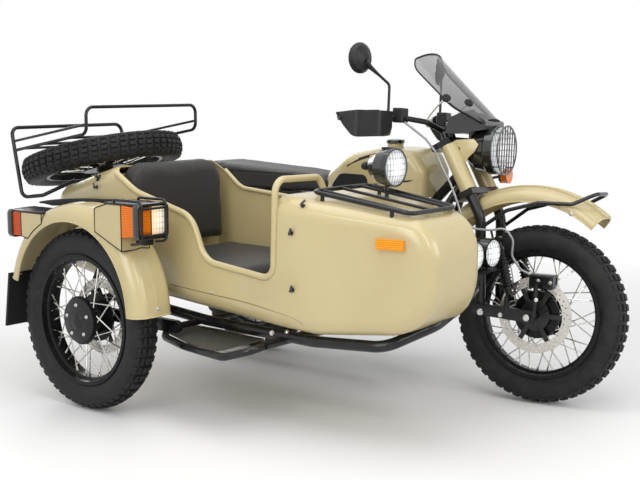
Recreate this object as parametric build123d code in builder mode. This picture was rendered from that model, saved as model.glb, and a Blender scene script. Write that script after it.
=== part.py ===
"""A sidecar motorcycle on three wire wheels, with a hollow sidecar tub and a spare wheel on its lid.

Drawn in millimetres with X forward from the rear axle, Y left from the bike's centre plane and Z up
from the ground, then stored about the middle of its footprint.
"""
import os
from math import cos, radians, sin

from build123d import *

# Stance
WHEELBASE = 1495.0
TRACK = 1170.0
WHEEL_LEAD = 215.0
STEER_DEG = 8.0
RAKE_DEG = 29.0
HEAD_X = 1121.0
HEAD_Z = 893.0
MIDDLE_X = 629.0
MIDDLE_Y = -438.4

# Wheels
TYRE_R = 345.0
TYRE_W = 108.0
RIM_R = 250.0
RIM_W = 86.0
HUB_R = 92.0
HUB_W = 116.0
SPOKES = 40
SPOKE_R = 2.4
SPOKE_LEAN = 38.0
AXLE_R = 10.0
AXLE_FIT = 0.08
DISC_R = 147.0
DISC_T = 5.0
SEAT_GAP = 0.3

# Fork and steering
LEG_Y = 98.0
LEG_R = 21.0
LEG_OFFSET = 36.0
YOKE_TOP = 95.0
YOKE_LOW = -125.0
YOKE_T = 24.0
HEAD_R = 30.0
STEM_R = 14.0
SHROUD_R = 33.0
LINK_BACK = 213.0
BOSS_H = 23.0
LINK_T = 14.0

# Bike
FRAME_R = 15.0
RAIL_Y = 115.0
CRANK_W = 190.0
CYL_X = 800.0
CYL_Z = 455.0
CYL_REACH = 352.0
FIN_R = 76.0
FINS = 9
FIN_PITCH = 11.0
PIPE_R = 20.0
SILENCER_R = 38.0
SILENCER_Y = 218.0
TANK_W = 300.0
TANK_Z = 772.0
SEAT_W = 290.0
SEAT_Z = 766.0

# Sidecar
TUB_RIGHT = -1000.0
TUB_LEFT = -400.0
TUB_REAR = -328.0
TUB_T = 5.0
BULKHEAD_X = 160.0
TUB_ROUND = 62.0
RIM_TUBE_R = 12.0
FRAME_TUBE_R = 20.0
FENDER_R = 388.0
FENDER_W = 184.0
FENDER_T = 3.0
FENDER_CROWN = 8.0
LID_GAP = 5.0
RACK_R = 8.0

os.makedirs("parts", exist_ok=True)

RAKE = radians(RAKE_DEG)
UP = Vector(-sin(RAKE), 0, cos(RAKE))
AHEAD = Vector(cos(RAKE), 0, sin(RAKE))
HEAD = Vector(HEAD_X, 0, HEAD_Z)
STEERING = Axis(HEAD, UP)
SIDES = (-1, 1)


def store(name, shape, steered=False):
    """Turn a steered piece with the fork, move it to the stored frame and write it."""
    piece = shape.rotate(STEERING, STEER_DEG) if steered else shape
    piece = piece.moved(Location((-MIDDLE_X, -MIDDLE_Y, 0)))
    piece.label = name
    export_step(piece, "parts/" + name + ".step")


def on_fork(along, ahead=0.0, side=0.0):
    """A point given along the steering axis, ahead of it and to the side."""
    return HEAD + UP * along + AHEAD * ahead + Vector(0, side, 0)


def tube(points, bend, radius):
    """A round tube along straight runs, with one bend radius or one for each corner."""
    with BuildPart() as made:
        with BuildLine() as path:
            if len(points) > 2:
                FilletPolyline(*points, radius=bend)
            else:
                Line(*points)
        with BuildSketch(Plane(path.line @ 0, z_dir=path.line % 0)):
            Circle(radius)
        sweep()
    return made.part


def turned(points, centre, axis_dir, radial):
    """A closed outline of radius and height turned about an axis."""
    with BuildPart() as made:
        with BuildSketch(Plane(centre, x_dir=radial, z_dir=Vector(*radial).cross(Vector(*axis_dir)))):
            with BuildLine():
                Polyline(*points, close=True)
            make_face()
        revolve(axis=Axis(centre, axis_dir))
    return made.part


def side_prism(points, y_from, y_to, rounds=None):
    """An outline in side view carried across the vehicle; rounds are corner radii by corner number."""
    with BuildPart() as made:
        with BuildSketch(Plane((0, y_from, 0), x_dir=(1, 0, 0), z_dir=(0, -1, 0))) as face:
            with BuildLine():
                Polyline(*points, close=True)
            make_face()
            for corner, size in (rounds or {}).items():
                spot = face.vertices().sort_by_distance((*points[corner], 0))
                fillet(spot[0], radius=size)
        extrude(amount=y_from - y_to)
    return made.part


def plan_prism(points, z_from, z_to, rounds=None):
    """An outline in plan view carried upward."""
    with BuildPart() as made:
        with BuildSketch(Plane.XY.offset(z_from)) as face:
            with BuildLine():
                Polyline(*points, close=True)
            make_face()
            for corner, size in (rounds or {}).items():
                spot = face.vertices().sort_by_distance((*points[corner], 0))
                fillet(spot[0], radius=size)
        extrude(amount=z_to - z_from)
    return made.part


def front_prism(points, x_from, x_to, rounds=None):
    """An outline of side offset and height, seen from ahead, carried along the vehicle."""
    with BuildPart() as made:
        with BuildSketch(Plane((x_from, 0, 0), x_dir=(0, 1, 0), z_dir=(1, 0, 0))) as face:
            with BuildLine():
                Polyline(*points, close=True)
            make_face()
            for corner, size in (rounds or {}).items():
                spot = face.vertices().sort_by_distance((*points[corner], 0))
                fillet(spot[0], radius=size)
        extrude(amount=x_to - x_from)
    return made.part


def block(x, y, z, size, round_r=0.0):
    """A block about a middle point, its edges rounded."""
    with BuildPart() as made:
        with Locations((x, y, z)):
            Box(*size)
        if round_r:
            fillet(made.edges(), radius=round_r)
    return made.part


def rod(start, end, radius):
    """A round bar between two points."""
    return tube((start, end), 0, radius)


def arched(section, centre, start_deg, sweep_deg, rounds=None):
    """A closed section of radius and side offset turned about a wheel's axle line."""
    a = radians(start_deg)
    with BuildPart() as made:
        with BuildSketch(Plane(centre, x_dir=(cos(a), 0, sin(a)), z_dir=(-sin(a), 0, cos(a)))) as face:
            with BuildLine():
                Polyline(*section, close=True)
            make_face()
            for corner, size in (rounds or {}).items():
                spot = face.vertices().sort_by_distance((*section[corner], 0))
                fillet(spot[0], radius=size)
        revolve(axis=Axis(centre, (0, 1, 0)), revolution_arc=sweep_deg)
    return made.part


def fender_edge(radius, width, skirt):
    """The outside line of a fender's section, from skirt to skirt over a low crown."""
    h = width / 2
    shoulder = radius - FENDER_CROWN
    return [(radius - skirt, -h), (shoulder, -h), (radius, 0), (shoulder, h), (radius - skirt, h)]


def fender(radius, width, skirt, centre, start_deg, sweep_deg):
    """A sheet fender with rounded shoulders over a wheel."""
    outer = fender_edge(radius, width, skirt)
    inner = fender_edge(radius - FENDER_T, width - 2 * FENDER_T, skirt - FENDER_T)
    shoulder = skirt - FENDER_CROWN - 6
    rounds = {1: shoulder, 3: shoulder, 6: shoulder - FENDER_T, 8: shoulder - FENDER_T}
    return arched(outer + inner[::-1], centre, start_deg, sweep_deg, rounds)


def fender_core(radius, width, skirt, centre, start_deg, sweep_deg):
    """The filled form of a fender, which pieces that sit on it are cut by."""
    shoulder = skirt - FENDER_CROWN - 6
    edge = fender_edge(radius + SEAT_GAP, width + 2 * SEAT_GAP, skirt)
    return arched(edge, centre, start_deg, sweep_deg, {1: shoulder, 3: shoulder})


def coil_over(top, bottom, radius, eye_bore):
    """A spring unit with a cross eye at each end."""
    top = Vector(*top)
    bottom = Vector(*bottom)
    run = top - bottom
    length = run.length
    eye = eye_bore + 8
    coils = int((length - 4 * eye - 20) // 13)
    low = eye + (length - 2 * eye - coils * 13) / 2
    outline = [(0, eye * 0.6), (radius * 0.55, eye * 0.6), (radius * 0.55, low - 8)]
    outline += [(radius, low - 8), (radius, low)]
    for n in range(coils):
        z = low + n * 13
        outline += [(radius * 0.72, z + 2), (radius * 0.95, z + 5)]
        outline += [(radius * 0.95, z + 9), (radius * 0.72, z + 12)]
    high = low + coils * 13
    outline += [(radius, high + 1), (radius, high + 14), (radius * 0.6, high + 14)]
    outline += [(radius * 0.6, length - eye * 0.6), (0, length - eye * 0.6)]
    spin = run.normalized()
    across = Vector(0, 1, 0)
    with BuildPart() as made:
        with BuildSketch(Plane(bottom, x_dir=across, z_dir=across.cross(spin))):
            with BuildLine():
                Polyline(*outline, close=True)
            make_face()
        revolve(axis=Axis(bottom, spin))
        for end in (top, bottom):
            with Locations(Plane(end, z_dir=across)):
                Cylinder(eye, 24)
                Cylinder(eye_bore, 40, mode=Mode.SUBTRACT)
    return made.part


# Wheel pieces, drawn about their own axle line
HUB_H = HUB_W / 2
RIM_H = RIM_W / 2
BEAD_R = RIM_R - 10
WELL_R = RIM_R - 24

with BuildPart() as tyre:
    with BuildSketch(Plane.XY):
        with BuildLine():
            t = TYRE_W / 2
            Line((BEAD_R + SEAT_GAP, -RIM_H + 6), (BEAD_R + SEAT_GAP, RIM_H - 6))
            Line((BEAD_R + SEAT_GAP, RIM_H - 6), (RIM_R + 2, RIM_H - 7))
            ThreePointArc((RIM_R + 2, RIM_H - 7), (RIM_R + 40, t), (TYRE_R - 19, t - 5))
            ThreePointArc((TYRE_R - 19, t - 5), (TYRE_R, 0), (TYRE_R - 19, 5 - t))
            ThreePointArc((TYRE_R - 19, 5 - t), (RIM_R + 40, -t), (RIM_R + 2, 7 - RIM_H))
            Line((RIM_R + 2, 7 - RIM_H), (BEAD_R + SEAT_GAP, -RIM_H + 6))
        make_face()
    revolve(axis=Axis.Y)

RIM_OUTLINE = [(RIM_R, RIM_H), (RIM_R, RIM_H - 4.7), (BEAD_R, RIM_H - 4.7)]
RIM_OUTLINE = RIM_OUTLINE + [(BEAD_R - 3, 20), (WELL_R + 2, 14)]
RIM_INSIDE = [(WELL_R - 3, 17), (BEAD_R - 8, 22), (BEAD_R - 4, RIM_H)]
HUB_OUTLINE = [(AXLE_R + AXLE_FIT, HUB_H), (34, HUB_H), (38, HUB_H - 12)]
HUB_OUTLINE = HUB_OUTLINE + [(HUB_R, HUB_H - 14), (HUB_R, HUB_H - 21), (HUB_R * 0.66, HUB_H - 28)]


def mirrored_outline(half):
    """A half outline of radius and offset, closed by its mirror image."""
    return half + [(r, -y) for r, y in reversed(half)]


spoke_planes = []
for n in range(SPOKES):
    side = 1 if n % 2 else -1
    lean = SPOKE_LEAN if (n // 2) % 2 else -SPOKE_LEAN
    at_rim = radians(360 / SPOKES * n)
    at_hub = at_rim + radians(lean)
    hub_end = Vector((HUB_R - 4) * cos(at_hub), side * (HUB_H - 17.5), (HUB_R - 4) * sin(at_hub))
    rim_end = Vector(WELL_R * cos(at_rim), side * 7, WELL_R * sin(at_rim))
    spoke_planes.append(Plane(hub_end, z_dir=rim_end - hub_end))
SPOKE_L = (rim_end - hub_end).length

with BuildPart() as wire_wheel:
    with BuildSketch(*spoke_planes):
        RegularPolygon(SPOKE_R, 6)
    extrude(amount=SPOKE_L)
    rim_half = RIM_OUTLINE + [(r, -y) for r, y in reversed(RIM_OUTLINE)]
    rim_half = rim_half + [(r, -y) for r, y in reversed(RIM_INSIDE)] + RIM_INSIDE
    add(turned(rim_half, (0, 0, 0), (0, 1, 0), (1, 0, 0)))
    add(turned(mirrored_outline(HUB_OUTLINE), (0, 0, 0), (0, 1, 0), (1, 0, 0)))

with BuildPart() as disc:
    with BuildSketch(Plane.XZ):
        Circle(DISC_R)
        Circle(DISC_R - 36, mode=Mode.SUBTRACT)
        with PolarLocations((DISC_R - 36 + 52) / 2, 6):
            Rectangle(DISC_R - 36 - 52 + 12, 18)
        Circle(60)
        Circle(AXLE_R + 8, mode=Mode.SUBTRACT)
    extrude(amount=DISC_T)
DISC_Y = HUB_H + SEAT_GAP

FRONT_AXLE = Vector(WHEELBASE, 0, TYRE_R)
SIDE_AXLE = Vector(WHEEL_LEAD, -TRACK, TYRE_R)
for name, spot, steered, disc_side in (
    ("front", FRONT_AXLE, True, -1),
    ("rear", Vector(0, 0, TYRE_R), False, 1),
    ("sidecar", SIDE_AXLE, False, 1),
):
    store(name + "_tyre", tyre.part.moved(Location(spot)), steered)
    store(name + "_wheel", wire_wheel.part.moved(Location(spot)), steered)
    disc_at = DISC_Y + DISC_T if disc_side > 0 else -DISC_Y
    store(name + "_disc", disc.part.moved(Location(spot + Vector(0, disc_at, 0))), steered)

# Steered pieces
LINK_X = WHEELBASE - LINK_BACK
LINK_Z = TYRE_R + 10
leg_top = on_fork(YOKE_TOP + 14, LEG_OFFSET)
leg_knee = on_fork(-340 + 108, LEG_OFFSET)
SHOCK_TOP = (LINK_X + 62, 625.0)
SHOCK_LOW = (WHEELBASE - 92, TYRE_R + 62)
STUD_R = 7.0

HOSE_R = 4.5
HOSE_RUN = [(955, -196, 1072), (1040, -160, 1005), (1085, -147, 950), (1110, -146, 900), (1152, -146, 832)]
HOSE_RUN += [(1186, -146, 760), (1210, -146, 700), (1262, -144, 664), (1330, -138, 664), (1385, -132, 676)]
HOSE_RUN += [(1418, -128, 632), (1412, -120, 570), (1444, -106, 520), (1490, -92, 500)]
HOSE_BEND = 36.0
HOSE_CLIP = HOSE_RUN[8]

with BuildPart() as fork:
    for side in SIDES:
        y = side * LEG_Y
        run = ((leg_top.X, y, leg_top.Z), (leg_knee.X, y, leg_knee.Z), (LINK_X, y, LINK_Z))
        add(tube(run, 140, LEG_R))
        with Locations(Plane((LINK_X, y, LINK_Z), z_dir=(0, 1, 0))):
            Cylinder(LEG_R + 3, 2 * BOSS_H)
        plate_y = side * (LEG_Y + LEG_R - 4)
        add(rod((LINK_X - 8, plate_y, SHOCK_TOP[1]), (SHOCK_TOP[0], plate_y, SHOCK_TOP[1]), 5))
        stud_end = (SHOCK_TOP[0], side * (LEG_Y - 14), SHOCK_TOP[1])
        add(rod((SHOCK_TOP[0], plate_y + side * 4, SHOCK_TOP[1]), stud_end, STUD_R))
    for along in (YOKE_TOP, YOKE_LOW):
        with Locations(Plane(on_fork(along, LEG_OFFSET * 0.5), x_dir=AHEAD, z_dir=UP)):
            Box(LEG_OFFSET + 52, 2 * LEG_Y + 64, YOKE_T)
    add(rod(on_fork(YOKE_LOW), on_fork(YOKE_TOP), STEM_R))
    for side in SIDES:
        bore = rod((LINK_X, side * (LEG_Y - 30), LINK_Z), (LINK_X, side * (LEG_Y + 30), LINK_Z), STUD_R)
        add(bore, mode=Mode.SUBTRACT)
    clip_foot = (HOSE_CLIP[0], -LEG_Y - LEG_R + 4, SHOCK_TOP[1])
    add(rod(clip_foot, (HOSE_CLIP[0], HOSE_CLIP[1], HOSE_CLIP[2] - HOSE_R), HOSE_R))
    add(tube(HOSE_RUN, HOSE_BEND, HOSE_R + SEAT_GAP), mode=Mode.SUBTRACT)
store("fork", fork.part, True)

with BuildPart() as fork_shrouds:
    for side in SIDES:
        bottom = on_fork(YOKE_LOW + YOKE_T / 2 + SEAT_GAP, LEG_OFFSET, side * LEG_Y)
        top = on_fork(YOKE_TOP - YOKE_T / 2 - SEAT_GAP, LEG_OFFSET, side * LEG_Y)
        add(rod(bottom, top, SHROUD_R))
        add(rod(bottom - UP, top + UP, LEG_R + SEAT_GAP), mode=Mode.SUBTRACT)
store("fork_shrouds", fork_shrouds.part, True)

with BuildPart() as leading_links:
    for side in SIDES:
        y = side * (LEG_Y + BOSS_H + LINK_T / 2 + SEAT_GAP)
        shape = [(LINK_X - 22, LINK_Z - 22), (WHEELBASE + 26, TYRE_R - 24)]
        shape += [(WHEELBASE + 26, TYRE_R + 24), (LINK_X - 22, LINK_Z + 22)]
        add(side_prism(shape, y - LINK_T / 2, y + LINK_T / 2, {0: 20, 1: 22, 2: 22, 3: 20}))
        add(rod((LINK_X, y, LINK_Z), (LINK_X, side * (LEG_Y - BOSS_H - 4), LINK_Z), STUD_R - AXLE_FIT))
        add(rod((SHOCK_LOW[0], y, TYRE_R + 5), (SHOCK_LOW[0], y, SHOCK_LOW[1] + 6), 9))
        add(rod((SHOCK_LOW[0], y, SHOCK_LOW[1]), (SHOCK_LOW[0], side * (LEG_Y - 14), SHOCK_LOW[1]), STUD_R))
    add(rod((WHEELBASE, -LEG_Y - 48, TYRE_R), (WHEELBASE, LEG_Y + 48, TYRE_R), AXLE_R))
    for side in SIDES:
        collar_end = (WHEELBASE, side * (LEG_Y + BOSS_H + 4), TYRE_R)
        add(rod((WHEELBASE, side * (HUB_H + 12), TYRE_R), collar_end, AXLE_R + 6))
    caliper_y = -(DISC_Y + DISC_T / 2)
    add(block(WHEELBASE + 30, caliper_y - 10, TYRE_R + 134, (96, 62, 56), 8))
    add(block(WHEELBASE + 30, caliper_y, TYRE_R + 112, (120, DISC_T + 10, 82)), mode=Mode.SUBTRACT)
    stay_y = -LEG_Y - BOSS_H - 6
    add(rod((WHEELBASE + 20, stay_y, TYRE_R), (WHEELBASE + 24, stay_y, TYRE_R + 128), 9))
    add(rod((WHEELBASE + 24, stay_y - 6, TYRE_R + 128), (WHEELBASE + 24, caliper_y - 30, TYRE_R + 128), 9))
store("leading_links", leading_links.part, True)

with BuildPart() as front_shocks:
    for side in SIDES:
        y = side * LEG_Y
        top = (SHOCK_TOP[0], y, SHOCK_TOP[1])
        add(coil_over(top, (SHOCK_LOW[0], y, SHOCK_LOW[1]), 24, STUD_R + SEAT_GAP))
store("front_shocks", front_shocks.part, True)

with BuildPart() as windscreen:
    low = Vector(1262, 0, 1092)
    high = Vector(985, 0, 1350)
    slope = (high - low).normalized()
    with BuildSketch(Plane(low, x_dir=(0, 1, 0), z_dir=slope)):
        with BuildLine():
            front = ThreePointArc((-170, 90), (0, 0), (170, 90))
            back = ThreePointArc((-170, 94.5), (0, 4.5), (170, 94.5))
            Line(front @ 0, back @ 0)
            Line(front @ 1, back @ 1)
        make_face()
    extrude(amount=(high - low).length)
    pane = [(-84, 1060), (-136, 1130), (-142, 1285), (-96, 1352)]
    pane = pane + [(-y, z) for y, z in reversed(pane)]
    add(front_prism(pane, 900, 1400, {1: 60, 2: 70, 3: 50, 4: 50, 5: 70, 6: 60}), mode=Mode.INTERSECT)
store("windscreen", windscreen.part, True)

LAMP_X = 1290.0
LAMP_Z = 972.0
LAMP_R = 97.0
with BuildPart() as headlamp_shell:
    bowl = [(0, -128), (52, -124), (80, -92), (92, -40), (LAMP_R, -34), (LAMP_R, 0)]
    bowl += [(LAMP_R - 8, 0), (LAMP_R - 8, -10), (0, -10)]
    add(turned(bowl, (LAMP_X, 0, LAMP_Z), (1, 0, 0), (0, 0, 1)))
    pod = [(1085, 1030), (1105, 1095), (1170, 1120), (1262, 1085), (1262, 1050), (1150, 1030)]
    add(side_prism(pod, -88, 88, {1: 20, 2: 30, 3: 12}))
    add(block(1195, 0, 1035, (60, 60, 40)))
    for side in SIDES:
        add(rod((1225, side * 80, LAMP_Z), (1150, side * (LEG_Y - SHROUD_R + 4), LAMP_Z - 26), 9))
    add(fork_shrouds.part, mode=Mode.SUBTRACT)
    add(fork.part, mode=Mode.SUBTRACT)
    add(windscreen.part, mode=Mode.SUBTRACT)
store("headlamp_shell", headlamp_shell.part, True)

with BuildPart() as headlamp_lens:
    dome = [(0, -9.7), (LAMP_R - 8.3, -9.7), (LAMP_R - 8.3, 2), (LAMP_R * 0.62, 12), (0, 17)]
    add(turned(dome, (LAMP_X, 0, LAMP_Z), (1, 0, 0), (0, 0, 1)))
store("headlamp_lens", headlamp_lens.part, True)

BAR_R = 11.0
GRIP = Vector(778, -382, 1080)
PERCH = Vector(905, -228, 1092)
KNEE = Vector(1018, -120, 1072)
CLAMP = Vector(1050, -42, 1042)
with BuildPart() as handlebar:
    half = (GRIP, PERCH, KNEE, CLAMP)
    run = [(v.X, v.Y, v.Z) for v in half] + [(v.X, -v.Y, v.Z) for v in reversed(half)]
    add(tube(run, 26, BAR_R))
    for side in SIDES:
        foot = on_fork(YOKE_TOP + YOKE_T / 2 + SEAT_GAP, 8, side * 30)
        add(rod(foot, (CLAMP.X, side * 30, CLAMP.Z + 4), 15))
    add(headlamp_shell.part, mode=Mode.SUBTRACT)
    add(fork.part, mode=Mode.SUBTRACT)
store("handlebar", handlebar.part, True)

# Hand guard in plan, as steps ahead of the grip's end and in towards the middle
GUARD_FRONT = [(-14, -10), (76, 4), (140, 66), (156, 138)]
GUARD_BACK = [(145, 138), (130, 73), (71, 16), (-14, 2)]
GUARD_SIDE = [(760, 1094), (796, 1044), (836, 1000), (925, 1008), (950, 1108), (850, 1106)]
MIRROR_CUP = [(0, -18), (26, -15), (48, -6), (60, 6), (60, 11), (0, 11)]
with BuildPart() as hand_controls:
    for side in SIDES:
        grip = Vector(GRIP.X, GRIP.Y * -side, GRIP.Z)
        perch = Vector(PERCH.X, PERCH.Y * -side, PERCH.Z)
        guard = [(grip.X + x, grip.Y - side * y) for x, y in GUARD_FRONT + GUARD_BACK]
        add(plan_prism(guard, grip.Z - 90, grip.Z + 40, {1: 40, 2: 40, 5: 34, 6: 34}))
    add(side_prism(GUARD_SIDE, GRIP.Y - 60, -GRIP.Y + 60, {1: 40, 2: 44, 3: 20, 4: 16}), mode=Mode.INTERSECT)
    for side in SIDES:
        grip = Vector(GRIP.X, GRIP.Y * -side, GRIP.Z)
        perch = Vector(PERCH.X, PERCH.Y * -side, PERCH.Z)
        knee = Vector(KNEE.X, KNEE.Y * -side, KNEE.Z)
        inward = (perch - grip).normalized()
        add(rod(grip - inward * 8, grip + inward * 122, 17))
        add(rod(grip + inward * 122, grip + inward * 160, 23))
        lever_bend = grip + inward * 120 + Vector(52, 0, 0)
        add(tube((grip + inward * 150, lever_bend, grip + Vector(58, -side * 22, 0)), 20, 6))
        cup = perch + (knee - perch) * 0.32
        add(block(cup.X, cup.Y, cup.Z + 8, (46, 54, 58), 6))
        head = perch + Vector(-65, side * 114, 215)
        add(tube((perch, perch + Vector(0, 0, 120), head + Vector(4, -side * 6, -10)), 24, 5.5))
        rear = Vector(-0.96, side * -0.28, 0).normalized()
        add(turned(MIRROR_CUP, head, rear, (0, 0, 1)))
    add(handlebar.part, mode=Mode.SUBTRACT)
store("hand_controls", hand_controls.part, True)

with BuildPart() as brake_hose:
    add(tube(HOSE_RUN, HOSE_BEND, HOSE_R))
    for holder in (hand_controls, handlebar, leading_links):
        add(holder.part, mode=Mode.SUBTRACT)
store("brake_hose", brake_hose.part, True)

FRONT_FENDER_R = 475.0
FRONT_FENDER_AT = Vector(WHEELBASE - 49, 0, TYRE_R + 17)
with BuildPart() as front_fender:
    add(fender(FRONT_FENDER_R, 150, 58, FRONT_FENDER_AT, 147, 95))
    band_low = FRONT_FENDER_R - 5
    band_top = FRONT_FENDER_R + 2.5
    band = [(band_low, -22), (band_low, 22), (band_top, 22), (band_top, -22)]
    add(arched(band, FRONT_FENDER_AT, 147, 95))
store("front_fender", front_fender.part, True)

with BuildPart() as fender_loop:
    side_run = [(1275, -116, 668), (1375, -106, 742), (1500, -98, 778), (1630, -92, 780), (1712, -72, 822)]
    full = side_run + [(x, -y, z) for x, y, z in reversed(side_run)]
    add(tube(full, 40, 7.5))
    for side in SIDES:
        add(rod((1570, side * 96, 779), (1570, side * 72, 779), 5))
    add(fork.part, mode=Mode.SUBTRACT)
    add(front_fender.part, mode=Mode.SUBTRACT)
store("fender_loop", fender_loop.part, True)

with BuildPart() as front_lamp:
    add(rod((1175, 118, 850), (1240, 162, 870), 6))
    add(rod((1228, 168, 872), (1264, 168, 872), 34))
    add(fork.part, mode=Mode.SUBTRACT)
    shroud_foot = on_fork(YOKE_LOW, LEG_OFFSET, LEG_Y)
    add(rod(shroud_foot, shroud_foot + UP * 220, SHROUD_R), mode=Mode.SUBTRACT)
store("front_turn_lamp", front_lamp.part, True)

# Bike pieces
with BuildPart() as bike_frame:
    add(rod(on_fork(YOKE_LOW + YOKE_T / 2 + 5), on_fork(YOKE_TOP - YOKE_T / 2 - 5), HEAD_R))
    add(tube(((1128, 0, 880), (985, 0, 738), (470, 0, 738)), 80, 20))
    for side in SIDES:
        y = side * RAIL_Y
        run = [(1140, side * 14, 840), (1036, side * 82, 640), (962, y, 310), (930, y, 285), (300, y, 285)]
        run += [(150, y, 420), (80, y, 745)]
        add(tube(run, 28, FRAME_R))
        add(tube(((470, side * 40, SEAT_Z - 12), (450, y, SEAT_Z - 12), (-190, y, SEAT_Z - 12)), 30, 12))
        add(rod((95, y, 700), (95, side * 176, 700), STUD_R))
    for x, z, reach in ((470, 738, 60), (900, 285, RAIL_Y), (400, 285, RAIL_Y), (-180, SEAT_Z - 13, RAIL_Y)):
        add(rod((x, -reach, z), (x, reach, z), 13))
    for x in (560, 900):
        add(rod((x, -62, TANK_Z - 8), (x, 62, TANK_Z - 8), 8 - SEAT_GAP))
    add(rod((410, -RAIL_Y - 8, 400), (410, RAIL_Y + 8, 400), 16))
    for side in SIDES:
        add(rod((410, side * (RAIL_Y + 2), 400), (360, side * RAIL_Y, 290), 12))
        add(rod((560, side * 110, 285), (560, side * 178, 290), 9))
        add(rod((560, side * 170, 290), (560, side * 262, 292), 15))
    add(rod(on_fork(-200), on_fork(200), STEM_R + 0.1), mode=Mode.SUBTRACT)
store("bike_frame", bike_frame.part)

with BuildPart() as engine:
    case = [(622, 318), (900, 306), (948, 380), (940, 560), (860, 604), (700, 600), (622, 540)]
    add(side_prism(case, -CRANK_W / 2, CRANK_W / 2, {1: 40, 2: 40, 3: 40, 4: 40, 5: 30}))
    gearbox = [(436, 340), (622, 318), (622, 540), (500, 530), (436, 470)]
    add(side_prism(gearbox, -82, 82))
    airbox = [(372, 560), (600, 560), (600, 708), (372, 708)]
    add(side_prism(airbox, -72, 72, {0: 20, 1: 20, 2: 20, 3: 20}))
    add(block(500, 0, 545, (120, 90, 60)))
    for side in SIDES:
        base = side * (CRANK_W / 2 - 4)
        add(rod((CYL_X, base, CYL_Z), (CYL_X, side * 300, CYL_Z), 54))
        for n in range(FINS):
            y = side * (CRANK_W / 2 + 14 + n * FIN_PITCH)
            add(rod((CYL_X, y, CYL_Z), (CYL_X, y + side * 4.5, CYL_Z), FIN_R))
        for n in range(4):
            add(block(CYL_X, side * (CRANK_W / 2 + 26 + (FINS + n) * FIN_PITCH), CYL_Z, (150, 6, 140)))
        add(block(CYL_X, side * (CYL_REACH - 34), CYL_Z, (112, 68, 124), 16))
        intake = [(CYL_X - 30, side * 250, CYL_Z + 30), (700, side * 245, 540)]
        intake += [(600, side * 110, 600), (560, side * 40, 620)]
        add(tube(intake, 40, 22))
store("engine", engine.part)

with BuildPart() as exhaust:
    for side in SIDES:
        y = side * SILENCER_Y
        run = [(CYL_X + 40, side * 262, CYL_Z - 20), (CYL_X + 140, side * 268, CYL_Z - 40)]
        run += [(CYL_X + 130, side * 250, 262), (640, y, 236), (400, y, 270)]
        add(tube(run, [46, 46, 60], PIPE_R))
        muffler = [(0, 0), (PIPE_R + 2, 0), (SILENCER_R, 70), (SILENCER_R, 560)]
        muffler += [(18, 640), (18, 690), (0, 690)]
        add(turned(muffler, (420, y, 268), (-1, 0, 0.03), (0, 1, 0)))
        add(rod((360, y - side * 20, 290), (352, side * (RAIL_Y + 4), 290), 8))
    add(engine.part, mode=Mode.SUBTRACT)
    add(bike_frame.part, mode=Mode.SUBTRACT)
store("exhaust", exhaust.part)

with BuildPart() as swing_arm:
    for side in SIDES:
        add(tube(((410, side * 92, 400), (300, side * 96, 388), (0, side * 96, TYRE_R)), 60, 19))
        add(rod((40, side * 90, TYRE_R + 28), (40, side * 176, TYRE_R + 28), STUD_R))
    add(rod((410, -104, 400), (410, 104, 400), 26))
    drive = [(0, 64), (70, 64), (94, 78), (94, 108), (60, 128), (0, 128)]
    add(turned(drive, (0, 0, TYRE_R), (0, -1, 0), (1, 0, 0)))
    add(rod((0, -140, TYRE_R), (0, 132, TYRE_R), AXLE_R))
    add(rod((0, 70, TYRE_R), (0, 118, TYRE_R), AXLE_R + 8))
    add(rod((410, -130, 400), (410, 130, 400), 16 + SEAT_GAP), mode=Mode.SUBTRACT)
    add(engine.part, mode=Mode.SUBTRACT)
    add(bike_frame.part, mode=Mode.SUBTRACT)
store("swing_arm", swing_arm.part)

SIDE_ARM_Y = -TRACK + 108
with BuildPart() as shock_absorbers:
    for side in SIDES:
        add(coil_over((95, side * 158, 700), (40, side * 158, TYRE_R + 28), 27, STUD_R + SEAT_GAP))
    side_top = (WHEEL_LEAD + 10, SIDE_ARM_Y + 32, 640)
    add(coil_over(side_top, (WHEEL_LEAD + 70, SIDE_ARM_Y + 32, 372), 24, STUD_R + SEAT_GAP))
store("shock_absorbers", shock_absorbers.part)

TANK_H = TANK_W / 2
with BuildPart() as fuel_tank:
    outline = [(468, TANK_Z), (500, 858), (640, 938), (800, 968), (960, 962), (1016, 880), (1006, TANK_Z)]
    add(side_prism(outline, -TANK_H - 20, TANK_H + 20, {1: 90, 2: 160, 3: 300, 4: 70, 5: 50}))
    plan = [(460, -78), (640, -138), (860, -TANK_H), (985, -112), (1030, -84)]
    plan = plan + [(x, -y) for x, y in reversed(plan)]
    add(plan_prism(plan, 740, 1000, {1: 300, 2: 200, 3: 60, 6: 60, 7: 200, 8: 300}), mode=Mode.INTERSECT)
    tops = [e for e in fuel_tank.edges() if e.center().Z > 800 and abs(e.center().Y) > 60]
    tops = [e for e in tops if abs(e.tangent_at(0.5).Z) < 0.93]
    fillet(tops, radius=46)
    add(tube(((1140, 0, 892), (985, 0, 738), (400, 0, 738)), 80, 24), mode=Mode.SUBTRACT)
    add(rod(on_fork(YOKE_LOW), on_fork(YOKE_TOP), HEAD_R + 4), mode=Mode.SUBTRACT)
    with Locations((800, 0, 974)):
        Cylinder(34, 26)
store("fuel_tank", fuel_tank.part)

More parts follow.
